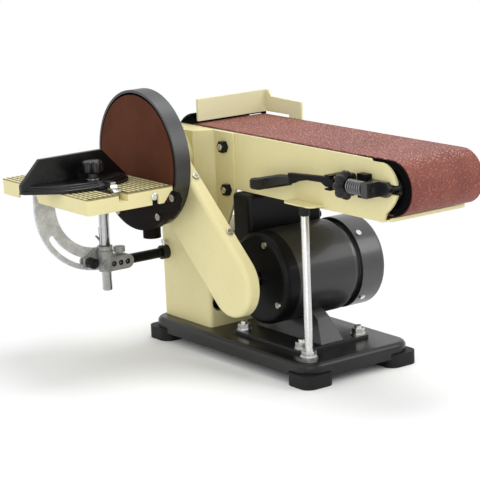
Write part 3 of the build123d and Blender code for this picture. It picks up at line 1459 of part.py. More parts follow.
# Table: cast top with a skirt on three sides, a mitre slot and lugs for the tilt pin
table_mid = ((TABLE_LEFT + TABLE_RIGHT) / 2, (TABLE_NEAR + table_far) / 2)
table_long = TABLE_RIGHT - TABLE_LEFT
table_wide = table_far - TABLE_NEAR
table_under = TABLE_TOP - TABLE_THICK
skirt_low = TABLE_TOP - SKIRT_DEPTH
with BuildPart() as table_top:
    with BuildSketch(level(skirt_low)):
        with Locations(table_mid):
            RectangleRounded(table_long, table_wide, 4)
    extrude(amount=SKIRT_DEPTH)
    fillet(table_top.faces().sort_by(Axis.Z)[-1].edges(), 1)
    with BuildSketch(level(skirt_low)):
        with Locations((table_mid[0], table_mid[1] + SKIRT_SHEET / 2)):
            Rectangle(table_long - 2 * SKIRT_SHEET, table_wide - SKIRT_SHEET)
    extrude(amount=SKIRT_DEPTH - TABLE_THICK, mode=Mode.SUBTRACT)
    with BuildSketch(level(TABLE_TOP - SLOT_DEEP - 3)):
        with Locations((table_mid[0], SLOT_Y)):
            Rectangle(table_long - 2 * SKIRT_SHEET, SLOT_WIDE + 8)
    extrude(amount=SLOT_DEEP + 3 - TABLE_THICK)
    with BuildSketch(level(TABLE_TOP)):
        with Locations((table_mid[0], SLOT_Y)):
            Rectangle(table_long + 2, SLOT_WIDE)
    extrude(amount=-SLOT_DEEP, mode=Mode.SUBTRACT)
    for side in (-1, 1):
        with BuildSketch(facing(BAR_X + side * (LUG_NEAR + LUG_THICK / 2) - LUG_THICK / 2)):
            with BuildLine():
                Polyline((POST_Y - 12, table_under), (POST_Y + 12, table_under), (POST_Y + 8, TILT_Z - 6),
                         (POST_Y - 8, TILT_Z - 6), close=True)
            make_face()
            with Locations((POST_Y, TILT_Z)):
                Circle(TILT_PIN_R + RUN, mode=Mode.SUBTRACT)
        extrude(amount=LUG_THICK)
    with BuildSketch(across(TABLE_NEAR + SKIRT_SHEET + 1)):
        with BuildLine():
            Polyline((-75, skirt_low - 1), (-75, skirt_low + 2), (-70, -26.5), (-36, -26.5),
                     (-28, skirt_low - 1), close=True)
        make_face()
    extrude(amount=SKIRT_SHEET + 2, mode=Mode.SUBTRACT)
    with BuildSketch(facing(TABLE_RIGHT - SKIRT_SHEET - 1)):
        with BuildLine():
            Polyline((table_far + 1, -26), (table_far - 4, -26), (table_far - 15, skirt_low - 1),
                     (table_far + 1, skirt_low - 1), close=True)
        make_face()
        with Locations((-116, skirt_low)):
            SlotOverall(24, 9, rotation=90)
    extrude(amount=SKIRT_SHEET + 2, mode=Mode.SUBTRACT)
save(table_top, "table_top")

# Quadrant: slotted quarter ring under the table, about the tilt pin
stud_angle = degrees(atan2(stud_z - TILT_Z, stud_y - POST_Y))
with BuildPart() as table_quadrant:
    with BuildSketch(facing(quad_near_x)):
        with BuildLine():
            CenterArc((POST_Y, TILT_Z), QUAD_OUT, QUAD_TO, QUAD_FROM - QUAD_TO)
            CenterArc((POST_Y, TILT_Z), QUAD_IN, QUAD_TO, QUAD_FROM - QUAD_TO)
            for angle in (QUAD_FROM, QUAD_TO):
                unit = Vector(cos(radians(angle)), sin(radians(angle)))
                Line(
                    (POST_Y + QUAD_OUT * unit.X, TILT_Z + QUAD_OUT * unit.Y),
                    (POST_Y + QUAD_IN * unit.X, TILT_Z + QUAD_IN * unit.Y),
                )
        make_face()
        with BuildLine():
            Polyline((POST_Y - QUAD_OUT, TILT_Z), (POST_Y - QUAD_IN, TILT_Z), (POST_Y - QUAD_IN, table_under),
                     (POST_Y - QUAD_OUT, table_under), close=True)
        make_face()
        with BuildLine() as quad_slot:
            CenterArc((POST_Y, TILT_Z), SLOT_RING, stud_angle, -45)
        SlotArc(quad_slot.edge(), 2 * (STUD_R + FREE), mode=Mode.SUBTRACT)
    extrude(amount=QUAD_SHEET)
save(table_quadrant, "table_quadrant")

# Mitre bar: slides in the table's slot, with the pivot stud and the pointer
bar_low = TABLE_TOP - SLOT_DEEP + SLIDE_GAP
bar_top = TABLE_TOP - SLIDE_GAP
head_low = TABLE_TOP + 0.2
plate_top = head_low + MITRE_PLATE
with BuildPart() as mitre_bar:
    with BuildSketch(level(bar_low)):
        with Locations((sum(MITRE_BAR) / 2, SLOT_Y)):
            RectangleRounded(MITRE_BAR[1] - MITRE_BAR[0], SLOT_WIDE - 2 * SLIDE_GAP, 2)
    extrude(amount=bar_top - bar_low)
    with BuildSketch(level(bar_low + 1)):
        with Locations((MITRE_X, SLOT_Y)):
            Circle(MITRE_STUD_R)
    extrude(amount=plate_top + STUD_TALL - bar_low - 1)
    with BuildSketch(level(bar_top - 1)):
        with Locations((POINTER_X, SLOT_Y)):
            Rectangle(7, 6)
    extrude(amount=plate_top + POINTER_GAP - bar_top + 2)
    with BuildSketch(level(plate_top + POINTER_GAP)):
        with BuildLine():
            Polyline((POINTER_X + 4, SLOT_Y - 3.5), (POINTER_X + 4, SLOT_Y + 3.5),
                     (POINTER_TIP + 7, SLOT_Y + 2.5), (POINTER_TIP, SLOT_Y),
                     (POINTER_TIP + 7, SLOT_Y - 2.5), close=True)
        make_face()
    extrude(amount=1.4)
save(mitre_bar, "mitre_bar")

# Mitre head: shallow half-round plate with an upright blade, swivels on the stud
blade_v = MITRE_KNOB_R + MITRE_BACK
mitre_plane = Plane(
    origin=(SPINDLE_X + MITRE_X, BELT_NEAR_Y + SLOT_Y, SPINDLE_Z + head_low),
    x_dir=(cos(radians(MITRE_ANGLE)), sin(radians(MITRE_ANGLE)), 0),
    z_dir=(0, 0, 1),
)
blade_plane = Plane(
    origin=mitre_plane.from_local_coords((0, blade_v + BLADE_THICK, 0)),
    x_dir=mitre_plane.x_dir,
    z_dir=-mitre_plane.y_dir,
)
with BuildPart() as mitre_head:
    with BuildSketch(mitre_plane):
        with BuildLine():
            Spline((BLADE_LEFT, blade_v), (-51, -8), (-30, -16.5), (0, -20.5), (20, -14), (47, -2),
                   (BLADE_RIGHT - 1, blade_v))
            Polyline((BLADE_RIGHT - 1, blade_v), (BLADE_RIGHT - 1, blade_v + 2), (BLADE_LEFT, blade_v + 2),
                     (BLADE_LEFT, blade_v))
        make_face()
    extrude(amount=MITRE_PLATE)
    with BuildSketch(blade_plane):
        with BuildLine():
            Polyline((BLADE_LEFT, 0), (BLADE_RIGHT, 0), (BLADE_RIGHT, 4), (BLADE_RIGHT - 32, BLADE_HIGH),
                     (BLADE_LEFT + 26, BLADE_HIGH), (BLADE_LEFT, 11), close=True)
        make_face()
    extrude(amount=BLADE_THICK)
    with BuildSketch(mitre_plane):
        Circle(MITRE_STUD_R + RUN)
    extrude(amount=MITRE_PLATE, mode=Mode.SUBTRACT)
save(mitre_head, "mitre_head")

# Mitre knob: lobed knob over a bright washer, turns on the stud
with BuildPart() as mitre_knob:
    with BuildSketch(level(plate_top + 0.2)):
        with Locations((MITRE_X, SLOT_Y)):
            Circle(8)
            Circle(MITRE_STUD_R + RUN, mode=Mode.SUBTRACT)
    extrude(amount=3)
    with BuildSketch(level(plate_top + 3)):
        with Locations((MITRE_X, SLOT_Y)):
            Circle(MITRE_KNOB_R - 2)
            with PolarLocations(MITRE_KNOB_R - 2.5, 7):
                Circle(2.5)
            Circle(MITRE_STUD_R + RUN, mode=Mode.SUBTRACT)
    extrude(amount=15)
    with BuildSketch(level(plate_top + 18)):
        with Locations((MITRE_X, SLOT_Y)):
            Circle(MITRE_KNOB_R - 2)
    extrude(amount=STUD_TALL - 18 + 3)
    with BuildSketch(level(plate_top)):
        with Locations((MITRE_X, SLOT_Y)):
            Circle(MITRE_STUD_R + RUN)
    extrude(amount=STUD_TALL + FREE, mode=Mode.SUBTRACT)
save(mitre_knob, "mitre_knob")
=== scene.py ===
from math import cos, pi, radians, sin

import bmesh
import bpy
from mathutils import Matrix, Vector


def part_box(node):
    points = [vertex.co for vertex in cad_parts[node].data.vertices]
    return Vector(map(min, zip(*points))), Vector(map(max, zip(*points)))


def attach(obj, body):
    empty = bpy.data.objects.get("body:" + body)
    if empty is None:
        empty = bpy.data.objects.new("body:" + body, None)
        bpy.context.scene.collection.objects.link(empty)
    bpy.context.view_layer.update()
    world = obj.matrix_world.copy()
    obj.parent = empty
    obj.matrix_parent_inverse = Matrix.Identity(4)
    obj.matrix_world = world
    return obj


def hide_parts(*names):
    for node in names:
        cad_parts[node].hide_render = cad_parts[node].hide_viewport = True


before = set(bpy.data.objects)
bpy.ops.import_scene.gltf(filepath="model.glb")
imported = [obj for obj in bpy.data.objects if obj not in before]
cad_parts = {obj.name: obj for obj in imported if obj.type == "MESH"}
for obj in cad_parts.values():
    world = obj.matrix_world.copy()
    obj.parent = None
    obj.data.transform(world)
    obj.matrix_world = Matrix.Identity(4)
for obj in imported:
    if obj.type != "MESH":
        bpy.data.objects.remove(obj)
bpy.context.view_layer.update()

# Base pan: a shallow tray pressed from steel sheet, with a rolled rim, open below and sprayed satin black.
# The motor's foot, the column and the support rod are all bolted through its flat top.


class Wire:
    """One socket of a material: sums on it add Math nodes, and node() adds a node of any other kind."""

    def __init__(self, tree, socket=None):
        self.tree = tree
        self.socket = socket

    def node(self, kind, settings=None, outlet=0, **sockets):
        """Adds a node: first its settings, then its sockets by name, with _ for a space, or as in0, in1."""
        made = self.tree.nodes.new("ShaderNode" + kind)
        for setting, value in (settings or {}).items():
            setattr(made, setting, value)
        for name, value in sockets.items():
            by_place = name[:2] == "in" and name[2:].isdigit()
            plug(value, made.inputs[int(name[2:]) if by_place else name.replace("_", " ")])
        return Wire(self.tree, made.outputs[outlet])

    def math(self, operation, first, second):
        """One Math node on two values."""
        return self.node("Math", {"operation": operation}, in0=first, in1=second)

    def __add__(self, other):
        return self.math("ADD", self, other)

    def __sub__(self, other):
        return self.math("SUBTRACT", self, other)

    def __rsub__(self, other):
        return self.math("SUBTRACT", other, self)

    def __mul__(self, other):
        return self.math("MULTIPLY", self, other)

    def __lt__(self, other):
        return self.math("LESS_THAN", self, other)

    def __gt__(self, other):
        return self.math("GREATER_THAN", self, other)

    __radd__ = __add__
    __rmul__ = __mul__

    def swing(self, spread):
        """This value, which runs from 0 to 1, as a swing about zero."""
        return (self - 0.5) * spread

    def over(self, low, high):
        """0 below low, 1 above high, smooth between."""
        smooth = {"interpolation_type": "SMOOTHSTEP"}
        return self.node("MapRange", smooth, Value=self, From_Min=low, From_Max=high)

    def tint(self, first, second):
        """Colour that goes from first to second as this value goes from 0 to 1.

        A Mix node has sockets of each kind: 6 and 7 take its colours, and outlet 2 gives one.
        """
        ends = [colour if isinstance(colour, Wire) else (*colour, 1.0) for colour in (first, second)]
        return self.node("Mix", {"data_type": "RGBA"}, outlet=2, in0=self, in6=ends[0], in7=ends[1])

    def stretched(self, scale):
        """This vector with its axes scaled."""
        return self.node("VectorMath", {"operation": "MULTIPLY"}, in0=self, in1=scale)

    def along(self, axis):
        """This vector's X, Y or Z."""
        return self.node("SeparateXYZ", outlet=axis, Vector=self)


def plug(value, end):
    """Links a Wire to a socket, or sets the socket to a plain value."""
    if isinstance(value, Wire):
        value.tree.links.new(value.socket, end)
    else:
        end.default_value = value


def feed(shader, **sockets):
    """Links or sets the shader's own sockets, with _ for a space in a name."""
    for name, value in sockets.items():
        plug(value, shader.inputs[name.replace("_", " ")])


def srgb(red, green, blue):
    """Linear colour of an 8-bit screen colour."""
    shares = [level / 255 for level in (red, green, blue)]
    return tuple(c / 12.92 if c <= 0.04045 else ((c + 0.055) / 1.055) ** 2.4 for c in shares)


def new_finish(name):
    """A new material, its shader, and a Wire with the piece's own coordinates in metres."""
    material = bpy.data.materials.new(name)
    material.use_nodes = True
    tree = material.node_tree
    shader = next(node for node in tree.nodes if node.type == "BSDF_PRINCIPLED")
    return material, shader, Wire(tree).node("TexCoord", outlet="Object")


def noise(at, scale, detail=2.0, rough=0.5):
    """Soft noise from 0 to 1; scale is in waves to the metre."""
    return at.node("TexNoise", Vector=at, Scale=scale, Detail=detail, Roughness=rough)


def bump(height, strength, distance):
    """Surface relief from a height; distance is in metres."""
    return height.node("Bump", Height=height, Strength=strength, Distance=distance)


def sprayed_paint(name, colour, dark, rough, coat, shine, peel=0.1, front=None):
    """Sprayed enamel: orange peel, a slow drift of tone and dull dust.

    front, where given, is (y in metres, second colour): what stands before y has the second colour.
    """
    material, shader, at = new_finish(name)
    cloud = noise(at, scale=14, detail=3)
    dust = noise(at, scale=260, detail=4, rough=0.6)
    tone = (cloud * 0.7 + dust * 0.3).over(0.3, 0.75).tint(dark, colour)
    if front:
        front_y, second_colour = front
        tone = (at.along("Y") < front_y).tint(tone, second_colour)
    feed(shader, Base_Color=tone, Roughness=rough + dust.swing(0.16) + cloud.swing(0.1))
    feed(shader, Normal=bump(noise(at, scale=900, detail=1.5), strength=peel, distance=0.0003))
    feed(shader, Coat_Weight=coat, Coat_Roughness=0.12, Specular_IOR_Level=shine)
    return material


def dress(node, finish, edge=0.0):
    """Puts a finish on a built piece, and softens its sharp edges by edge, in millimetres."""
    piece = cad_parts[node]
    piece.data.materials.clear()
    piece.data.materials.append(finish)
    weld = piece.modifiers.new("weld", "WELD")
    weld.merge_threshold = 0.000004
    if edge:
        soft = piece.modifiers.new("soft edge", "BEVEL")
        soft.width = edge / 1000
        soft.segments = 2
        soft.limit_method = "ANGLE"
        soft.angle_limit = radians(32)
        level = piece.modifiers.new("level", "WEIGHTED_NORMAL")
        level.keep_sharp = False
        level.weight = 60


pan_paint = sprayed_paint("pan_paint", srgb(17, 17, 18), srgb(12, 12, 13), rough=0.34, coat=0.2, shine=0.3)
dress("base_pan", pan_paint, edge=0.8)

# Feet: four corner blocks moulded in black rubber.
# They grip the pan's rim from below and stand on the bench.


def shaded(colour, share):
    """A colour made lighter or darker by a share."""
    return tuple(c * share for c in colour)


def moulded_rubber(name, colour):
    """Moulded rubber: a dull fine grain with a paler bloom."""
    material, shader, at = new_finish(name)
    grain = noise(at, scale=1400, detail=3)
    bloom = noise(at, scale=60, detail=3)
    feed(shader, Base_Color=bloom.over(0.35, 0.7).tint(colour, shaded(colour, 1.5)))
    feed(shader, Roughness=0.62 + grain.swing(0.2), Normal=bump(grain, strength=0.18, distance=0.0003))
    feed(shader, Specular_IOR_Level=0.3)
    return material


rubber = moulded_rubber("black_rubber", srgb(12, 12, 13))
dress("rubber_feet", rubber, edge=0.8)

# Support rod and the base's bolts: steel with bright zinc plating, and drawn lines along the rod.
# A nut and a washer hold the rod upright on the pan, below the belt arm.


def plated_steel(name, colour, rough, stretch=(1, 1, 1), depth=0.05):
    """Plated, drawn or turned metal: a faint mottle, and streaks along the axis with a small stretch."""
    material, shader, at = new_finish(name)
    streak = noise(at.stretched(stretch), scale=900)
    mottle = noise(at, scale=220, detail=3)
    feed(shader, Base_Color=mottle.over(0.3, 0.7).tint(colour, shaded(colour, 0.9)), Metallic=1.0)
    feed(shader, Roughness=rough + streak.swing(0.18) + mottle.swing(0.12))
    feed(shader, Normal=bump(streak, strength=depth, distance=0.0002))
    return material


zinc_rod = plated_steel("zinc_rod", srgb(214, 214, 213), rough=0.26, stretch=(1, 1, 0.02), depth=0.12)
zinc = plated_steel("zinc_steel", srgb(222, 222, 219), rough=0.3)
dress("support_rod", zinc_rod)
dress("base_fasteners", zinc, edge=0.5)

# Housing column: an upright box folded and welded from steel sheet, with a cap plate, sprayed cream.
# It is bolted to the pan and carries the spindle, the belt arm and the sleeve of the table's bar.
# The sleeve stands out in front in black, with a small plated screw that locks the bar.
sleeve_y = -0.0603
black = srgb(13, 13, 14)
cream_gloss = {"rough": 0.46, "coat": 0.06, "shine": 0.35}
cream, cream_shade = srgb(227, 217, 165), srgb(220, 209, 155)
cream_paint = sprayed_paint("cream_paint", cream, cream_shade, **cream_gloss)
column_paint = sprayed_paint("column_paint", cream, cream_shade, **cream_gloss, front=(sleeve_y, black))
dress("housing_column", column_paint, edge=0.5)
dress("bar_lock_screw", zinc, edge=0.4)

spindle_x, belt_edge_y, spindle_z = -103, -30, 231


def place(x, y, z):
    """Model point in metres, from millimetres off the spindle's axis (x, z) and the belt's near edge (y)."""
    return Vector((x + spindle_x, y + belt_edge_y, z + spindle_z)) / 1000


def skin(shape, rings):
    """Joins rings of equal count into a closed tube with flat ends."""
    for low, high in zip(rings, rings[1:]):
        for i in range(len(low)):
            j = (i + 1) % len(low)
            shape.faces.new((low[i], low[j], high[j], high[i]))
    shape.faces.new(rings[0][::-1])
    shape.faces.new(rings[-1])


def stack(shape, outline, middle, layers, spot):
    """Closed solid from copies of an outline: at each (level, size) it is scaled about its middle.

    spot gives the model point of the outline's two distances and the level.
    """
    rings = []
    for level, size in layers:
        ring = []
        for first, second in outline:
            scaled_first = middle[0] + (first - middle[0]) * size
            scaled_second = middle[1] + (second - middle[1]) * size
            ring.append(shape.verts.new(spot(scaled_first, scaled_second, level)))
        rings.append(ring)
    skin(shape, rings)


def stand(shape, name, finish, body, node=None):
    """Turns a bmesh into a piece with crisp edges, and joins it to the frame."""
    bmesh.ops.recalc_face_normals(shape, faces=shape.faces)
    mesh = bpy.data.meshes.new(name)
    shape.to_mesh(mesh)
    shape.free()
    mesh.materials.append(finish)
    mesh.shade_smooth()
    mesh.set_sharp_from_angle(angle=radians(38))
    piece = bpy.data.objects.new(name, mesh)
    bpy.context.scene.collection.objects.link(piece)
    if node:
        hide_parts(node)
    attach(piece, body)
    return piece


cap_outline = [(-31.5, -25.8), (29.7, -25.8), (44.4, -9.7), (44.4, -6.7), (-31.5, -6.7)]
cap_layers = [(26.4, 0.99), (26.6, 1), (28.3, 1), (28.7, 0.98)]
cap_middle = (5, -16)
cap_shape = bmesh.new()
stack(cap_shape, cap_outline, cap_middle, cap_layers, place)
stand(cap_shape, "column_cap", cream_paint, "base")

# Spindle: a ground steel shaft on two ball bearings, in a tube that is pressed into the column.
# The belt's drum, turned from aluminium, is fixed on its far end.
ground = plated_steel("ground_steel", srgb(176, 177, 180), rough=0.24, stretch=(1, 0.03, 1))
drum_grey = srgb(196, 197, 199)
turned = plated_steel("turned_aluminium", drum_grey, rough=0.34, stretch=(0.6, 0.02, 0.6), depth=0.12)
for name in ("bearing_tube", "spindle_bearings", "spindle_shaft"):
    dress(name, ground)
dress("belt_drum", turned, edge=0.5)

# Pulleys, drive belt and their cover: grooved pulleys turned from aluminium, and a ribbed rubber belt.
# The cover is pressed from sheet, sprayed cream and held to the column by plated screws.
for name in ("spindle_pulley", "motor_pulley"):
    dress(name, turned)
dress("drive_belt", rubber)
dress("pulley_cover", cream_paint, edge=0.4)
screw_zinc = plated_steel("screw_zinc", srgb(176, 174, 164), rough=0.34)
dress("cover_screws", screw_zinc, edge=0.3)

# Sanding disc: a cast plate pressed on the spindle's near end; its dark grey is painted shade where its edge
# shows in the gap round the disc.
# A sheet of cloth-backed abrasive is stuck to its face.


def grit(name, colour, light, dark, rough, spots, bare=0.56, shine=0.15, dust=None):
    """Coated abrasive: grains of mixed size in a coloured resin, with pale grains painted in: partly their
    own colour, partly painted glints where they catch the light.

    bare is the level of the fine noise below which no pale grain shows. dust, where given, is the range of z,
    in metres, over which the pale grains grow stronger upwards: partly settled dust, partly painted sheen on
    the top.
    """
    material, shader, at = new_finish(name)
    grains = at.node("TexVoronoi", {"feature": "F1"}, Vector=at, Scale=spots)
    fine = noise(at, scale=spots * 1.6)
    cloud = noise(at, scale=22, detail=3)
    worn = noise(at.stretched((0.4, 1, 0.4)), scale=30, detail=3)
    resin = (cloud * 0.6 + worn * 0.4).over(0.35, 0.65).tint(dark, colour)
    pale = at.along("Z").over(*dust) * 0.42 + 0.14 if dust else 0.36
    feed(shader, Base_Color=(fine.over(bare, bare + 0.16) * pale).tint(resin, light))
    feed(shader, Roughness=rough + fine.swing(0.3), Specular_IOR_Level=shine)
    feed(shader, Normal=bump(grains + fine * 0.6, strength=0.55, distance=0.0006))
    return material


disc_brown, disc_grains_and_glints, disc_shade = srgb(92, 52, 34), srgb(114, 70, 50), srgb(80, 42, 27)
disc_grit = grit("disc_abrasive", disc_brown, disc_grains_and_glints, disc_shade, rough=0.86, spots=900)
dress("abrasive_disc", disc_grit)
# The plate's dark grey is painted shade in the narrow gap between the disc and the guard.
shaded_disc_plate = plated_steel("shaded_disc_plate", srgb(58, 56, 55), rough=0.5)
dress("disc_plate", shaded_disc_plate, edge=0.5)

# Disc guard and dust chute: moulded black plastic with a fine eroded texture.
# The round guard is screwed to the column; the chute closes it below the table and takes the dust out.


def moulded_plastic(name, colour, rough, grain_size=1500, shine=0.5, foot=None):
    """Moulded plastic: a fine grain and slow flow marks.

    foot, where given, is (low z, high z, colour), in metres, of painted shade: below low z the piece has that
    colour, which fades out by high z.
    """
    material, shader, at = new_finish(name)
    grain = noise(at, scale=grain_size, detail=3)
    flow = noise(at.stretched((1, 1, 0.3)), scale=35, detail=3)
    tone = flow.over(0.3, 0.75).tint(colour, shaded(colour, 1.35))
    if foot:
        low_z, high_z, painted_shade_colour = foot
        tone = at.along("Z").over(low_z, high_z).tint(painted_shade_colour, tone)
    feed(shader, Base_Color=tone, Roughness=rough + grain.swing(0.16) + flow.swing(0.12))
    feed(shader, Normal=bump(grain, strength=0.12, distance=0.0003), Specular_IOR_Level=shine)
    return material


# Below the table the guard fades to a dark brown: painted shade. Its grey is a little paler than the black
# plastic: partly painted sheen on its rim.
guard_painted_shade = (0.18, 0.26, srgb(12, 6, 4))
guard_plastic = moulded_plastic("guard_plastic", srgb(28, 29, 32), rough=0.44, shine=0.9, foot=guard_painted_shade)
chute_plastic = moulded_plastic("chute_plastic", srgb(15, 9, 7), rough=0.5, shine=0.06)
dress("disc_guard", guard_plastic, edge=0.6)
dress("dust_chute", chute_plastic, edge=0.5)

# Motor shell: a rolled steel body between a cast end bell and a pressed fan cover, all sprayed black.
# A welded foot with gussets bolts it to the pan, and plated screws hold its ends.
black_paint = sprayed_paint("black_paint", black, srgb(8, 8, 9), rough=0.36, coat=0.05, shine=0.1)
motor_paint = sprayed_paint("motor_paint", srgb(20, 20, 21), srgb(14, 14, 15),
                            rough=0.46, coat=0.25, shine=0.55, peel=0.02)
# The fan cover's grey is paler than the body's black: painted sheen for the broad reflection on its top.
fan_sheen_paint = sprayed_paint("fan_sheen_paint", srgb(32, 32, 34), srgb(25, 25, 27),
                          rough=0.35, coat=0.3, shine=0.8, peel=0.02)
dress("motor_body", motor_paint, edge=0.5)
dress("motor_end_bell", black_paint, edge=0.5)
dress("motor_foot", motor_paint, edge=0.5)
dress("motor_fan_cover", fan_sheen_paint, edge=0.5)
dress("motor_screws", zinc, edge=0.4)

# Inside the motor: a stator and a rotor of stacked steel sheets, the rotor pressed on a ground shaft.
# Two ball bearings carry the shaft, and a moulded fan sits on its far end.
laminations = plated_steel("lamination_steel", srgb(120, 120, 122), rough=0.45, stretch=(1, 8, 1), depth=0.2)
for name in ("motor_stator", "motor_rotor"):
    dress(name, laminations)
for name in ("motor_shaft", "motor_bearings"):
    dress(name, ground)
black_plastic = moulded_plastic("black_plastic", srgb(11, 11, 12), rough=0.36, shine=0.18)
dress("motor_fan", black_plastic)

# Motor box: a moulded black plastic box, screwed on top of the motor.
# Its far side holds the switch, with a red rocker in a bezel, and a gland.
dress("motor_box", black_plastic, edge=0.6)
dress("switch_bezel", black_plastic, edge=0.3)
dress("cable_gland", black_plastic, edge=0.4)
red_plastic = moulded_plastic("red_plastic", srgb(176, 28, 24), rough=0.33, grain_size=1800)
dress("switch_rocker", red_plastic, edge=0.4)

# Belt arm: a side plate and a tray folded from steel sheet and sprayed cream, with a lip at the tray's end.
# A plated steel platen, fixed beside the side plate, backs the belt's upper run.
dress("arm_frame", cream_paint, edge=0.5)
dress("platen", zinc)


def strip(name, outline, near, far, chamfer, finish, body):
    """Flat piece with chamfered edges: an outline of (x, z) between two distances along y."""
    middle = [sum(distances) / len(outline) for distances in zip(*outline)]
    reach = max(max(abs(x - middle[0]), abs(z - middle[1])) for x, z in outline)
    end_size = 1 - chamfer / reach
    layers = [(near, end_size), (near + chamfer, 1), (far - chamfer, 1), (far, end_size)]
    shape = bmesh.new()
    stack(shape, outline, middle, layers, lambda x, z, y: place(x, y, z))
    stand(shape, name, finish, body)


tray_lip = [(351.6, -34.6), (353.9, -34.8), (353.9, -31), (352.2, -31)]
strip("tray_lip", tray_lip, near=-6, far=98, chamfer=0.3, finish=cream_paint, body="arm")

# Arm clamp bolts: two dark plated bolts from the column through the arm's plate, which lock its tilt.
# The bright rounded ends of their studs stand out of the nuts.
dark_zinc = plated_steel("dark_bolts", srgb(46, 48, 50), rough=0.22)
dress("arm_clamp_bolts", dark_zinc, edge=0.6)


def lobed_grip(profile, lobes, centre, axis, side, steps=120):
    """Moulded knob: each (height, radius, swell) of the profile is a ring that swells in lobes.

    A power below 1 makes the lobes broad and the hollows between them narrow.
    """
    shape = bmesh.new()
    axis, side = Vector(axis), Vector(side)
    other = axis.cross(side)
    rings = []
    for height, radius, swell in profile:
        ring = []
        for step in range(steps):
            angle = 2 * pi * step / steps
            reach = radius + swell * (abs(cos(lobes * angle / 2)) ** 0.7 - 0.5)
            outward = side * cos(angle) + other * sin(angle)
            ring.append(shape.verts.new(centre + (axis * height + outward * reach) / 1000))
        rings.append(ring)
    skin(shape, rings)
    return shape


def round_head(profile, centre, axis, side, steps=48):
    """Turned head: each (height, radius) of the profile is a round ring."""
    return lobed_grip([(height, radius, 0) for height, radius in profile], 1, centre, axis, side, steps)


bolt_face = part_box("arm_clamp_bolts")[0][1]
stud_profile = [(-0.3, 3.0), (0.2, 3.6), (1.4, 3.6), (2.2, 2.8), (2.5, 1.2)]
for name, x, z in (("upper_stud", 66, 12), ("lower_stud", 70, -38)):
    stud_root = place(x, 0, z)
    stud_root.y = bolt_face
    stud = round_head(stud_profile, stud_root, axis=(0, -1, 0), side=(1, 0, 0))
    stand(stud, name, zinc, "base")

# Drum hood: a curved black plastic cover round the drum's end of the belt, held on the arm.
# Two matt black strips, one over the belt under the fence and one at the far side, stand for the shade in the
# gap under the fence: painted shade.
dress("drum_hood", black_plastic, edge=0.4)
# A black with almost no shine, for pieces that stand in for shade: painted shade.
painted_shade_black = sprayed_paint("painted_shade_black", srgb(7, 7, 8), srgb(4, 4, 5), rough=0.6, coat=0.0, shine=0.03)
fence_gap_shade = [(-9.5, 30.5), (-4.3, 30.5), (-4.3, 33.6), (-5.2, 35.6), (-9.5, 36.4)]
far_gap_shade = [(-9.5, 16), (-4.3, 16), (-4.3, 33), (-9.5, 35)]
gap_shade_far = 105.5
for name, outline, near in (("fence_gap_shade", fence_gap_shade, 1.0), ("far_gap_shade", far_gap_shade, 101.5)):
    strip(name, outline, near, gap_shade_far, chamfer=0.4, finish=painted_shade_black, body="arm")

# Fence: an upright stop across the belt, folded from steel sheet and sprayed cream, painted a paler cream as
# painted light.
# Plated bolts hold its turned end to the arm's far side.
# The fence's cream is paler and cooler than the arm's: painted light that offsets the shade and the belt's
# warm glow on it.
lit_fence_cream = sprayed_paint("lit_fence_cream", srgb(230, 227, 186), srgb(225, 221, 178), **cream_gloss)
dress("fence", lit_fence_cream, edge=0.6)
dress("fence_bolts", zinc, edge=0.5)

# Sanding belt: a glued loop of cloth-backed abrasive, reddish brown, stretched round the drum and the idler.
# The grains of its upper run are paler: partly settled dust, partly a painted sheen where the top catches the
# light.
# Range of z over which the pale grains grow stronger: partly dust, partly painted sheen.
dust_and_sheen_rise = (0.252, 0.2606)
belt_red, belt_grains_and_glints, belt_shade = srgb(130, 71, 59), srgb(236, 196, 186), srgb(114, 59, 49)
belt_grit = grit("belt_abrasive", belt_red, belt_grains_and_glints, belt_shade,
                 rough=0.62, spots=330, bare=0.52, shine=0.25, dust=dust_and_sheen_rise)
dress("sanding_belt", belt_grit)

# Idler end: a roller on ball bearings, on an axle that is fixed to a black sliding carriage held by two
# guides on the arm.
# The roller's shineless black is partly its own and partly painted shade; the thin black crescent beside it
# is painted shade in the recess.
dress("idler_roller", painted_shade_black)
dress("idler_bearings", ground)
carriage_paint = sprayed_paint("carriage_paint", srgb(28, 28, 29), srgb(20, 20, 21),
                               rough=0.3, coat=0.3, shine=0.5, peel=0.02)
dress("idler_axle", carriage_paint, edge=0.3)
dress("idler_carriage", carriage_paint, edge=0.8)
dress("slide_guides", black_paint, edge=0.4)
# The thin black crescent beside the roller is painted shade in the recess at the arm's end.
idler_x = 351
crescent_start, crescent_outer, crescent_inner = 300, 29.5, 22
half_turn = [radians(angle) for angle in range(0, 180, 5)]
idler_shade_crescent = [(crescent_start, crescent_outer)]
idler_shade_crescent += [(idler_x + crescent_outer * sin(turn), crescent_outer * cos(turn)) for turn in half_turn]
half_turn.reverse()
idler_shade_crescent += [(idler_x + crescent_inner * sin(turn), crescent_inner * cos(turn)) for turn in half_turn]
idler_shade_crescent += [(crescent_start, crescent_inner)]
strip("idler_shade_crescent", idler_shade_crescent, near=-2.7, far=-1.2, chamfer=0.3,
      finish=painted_shade_black, body="arm")

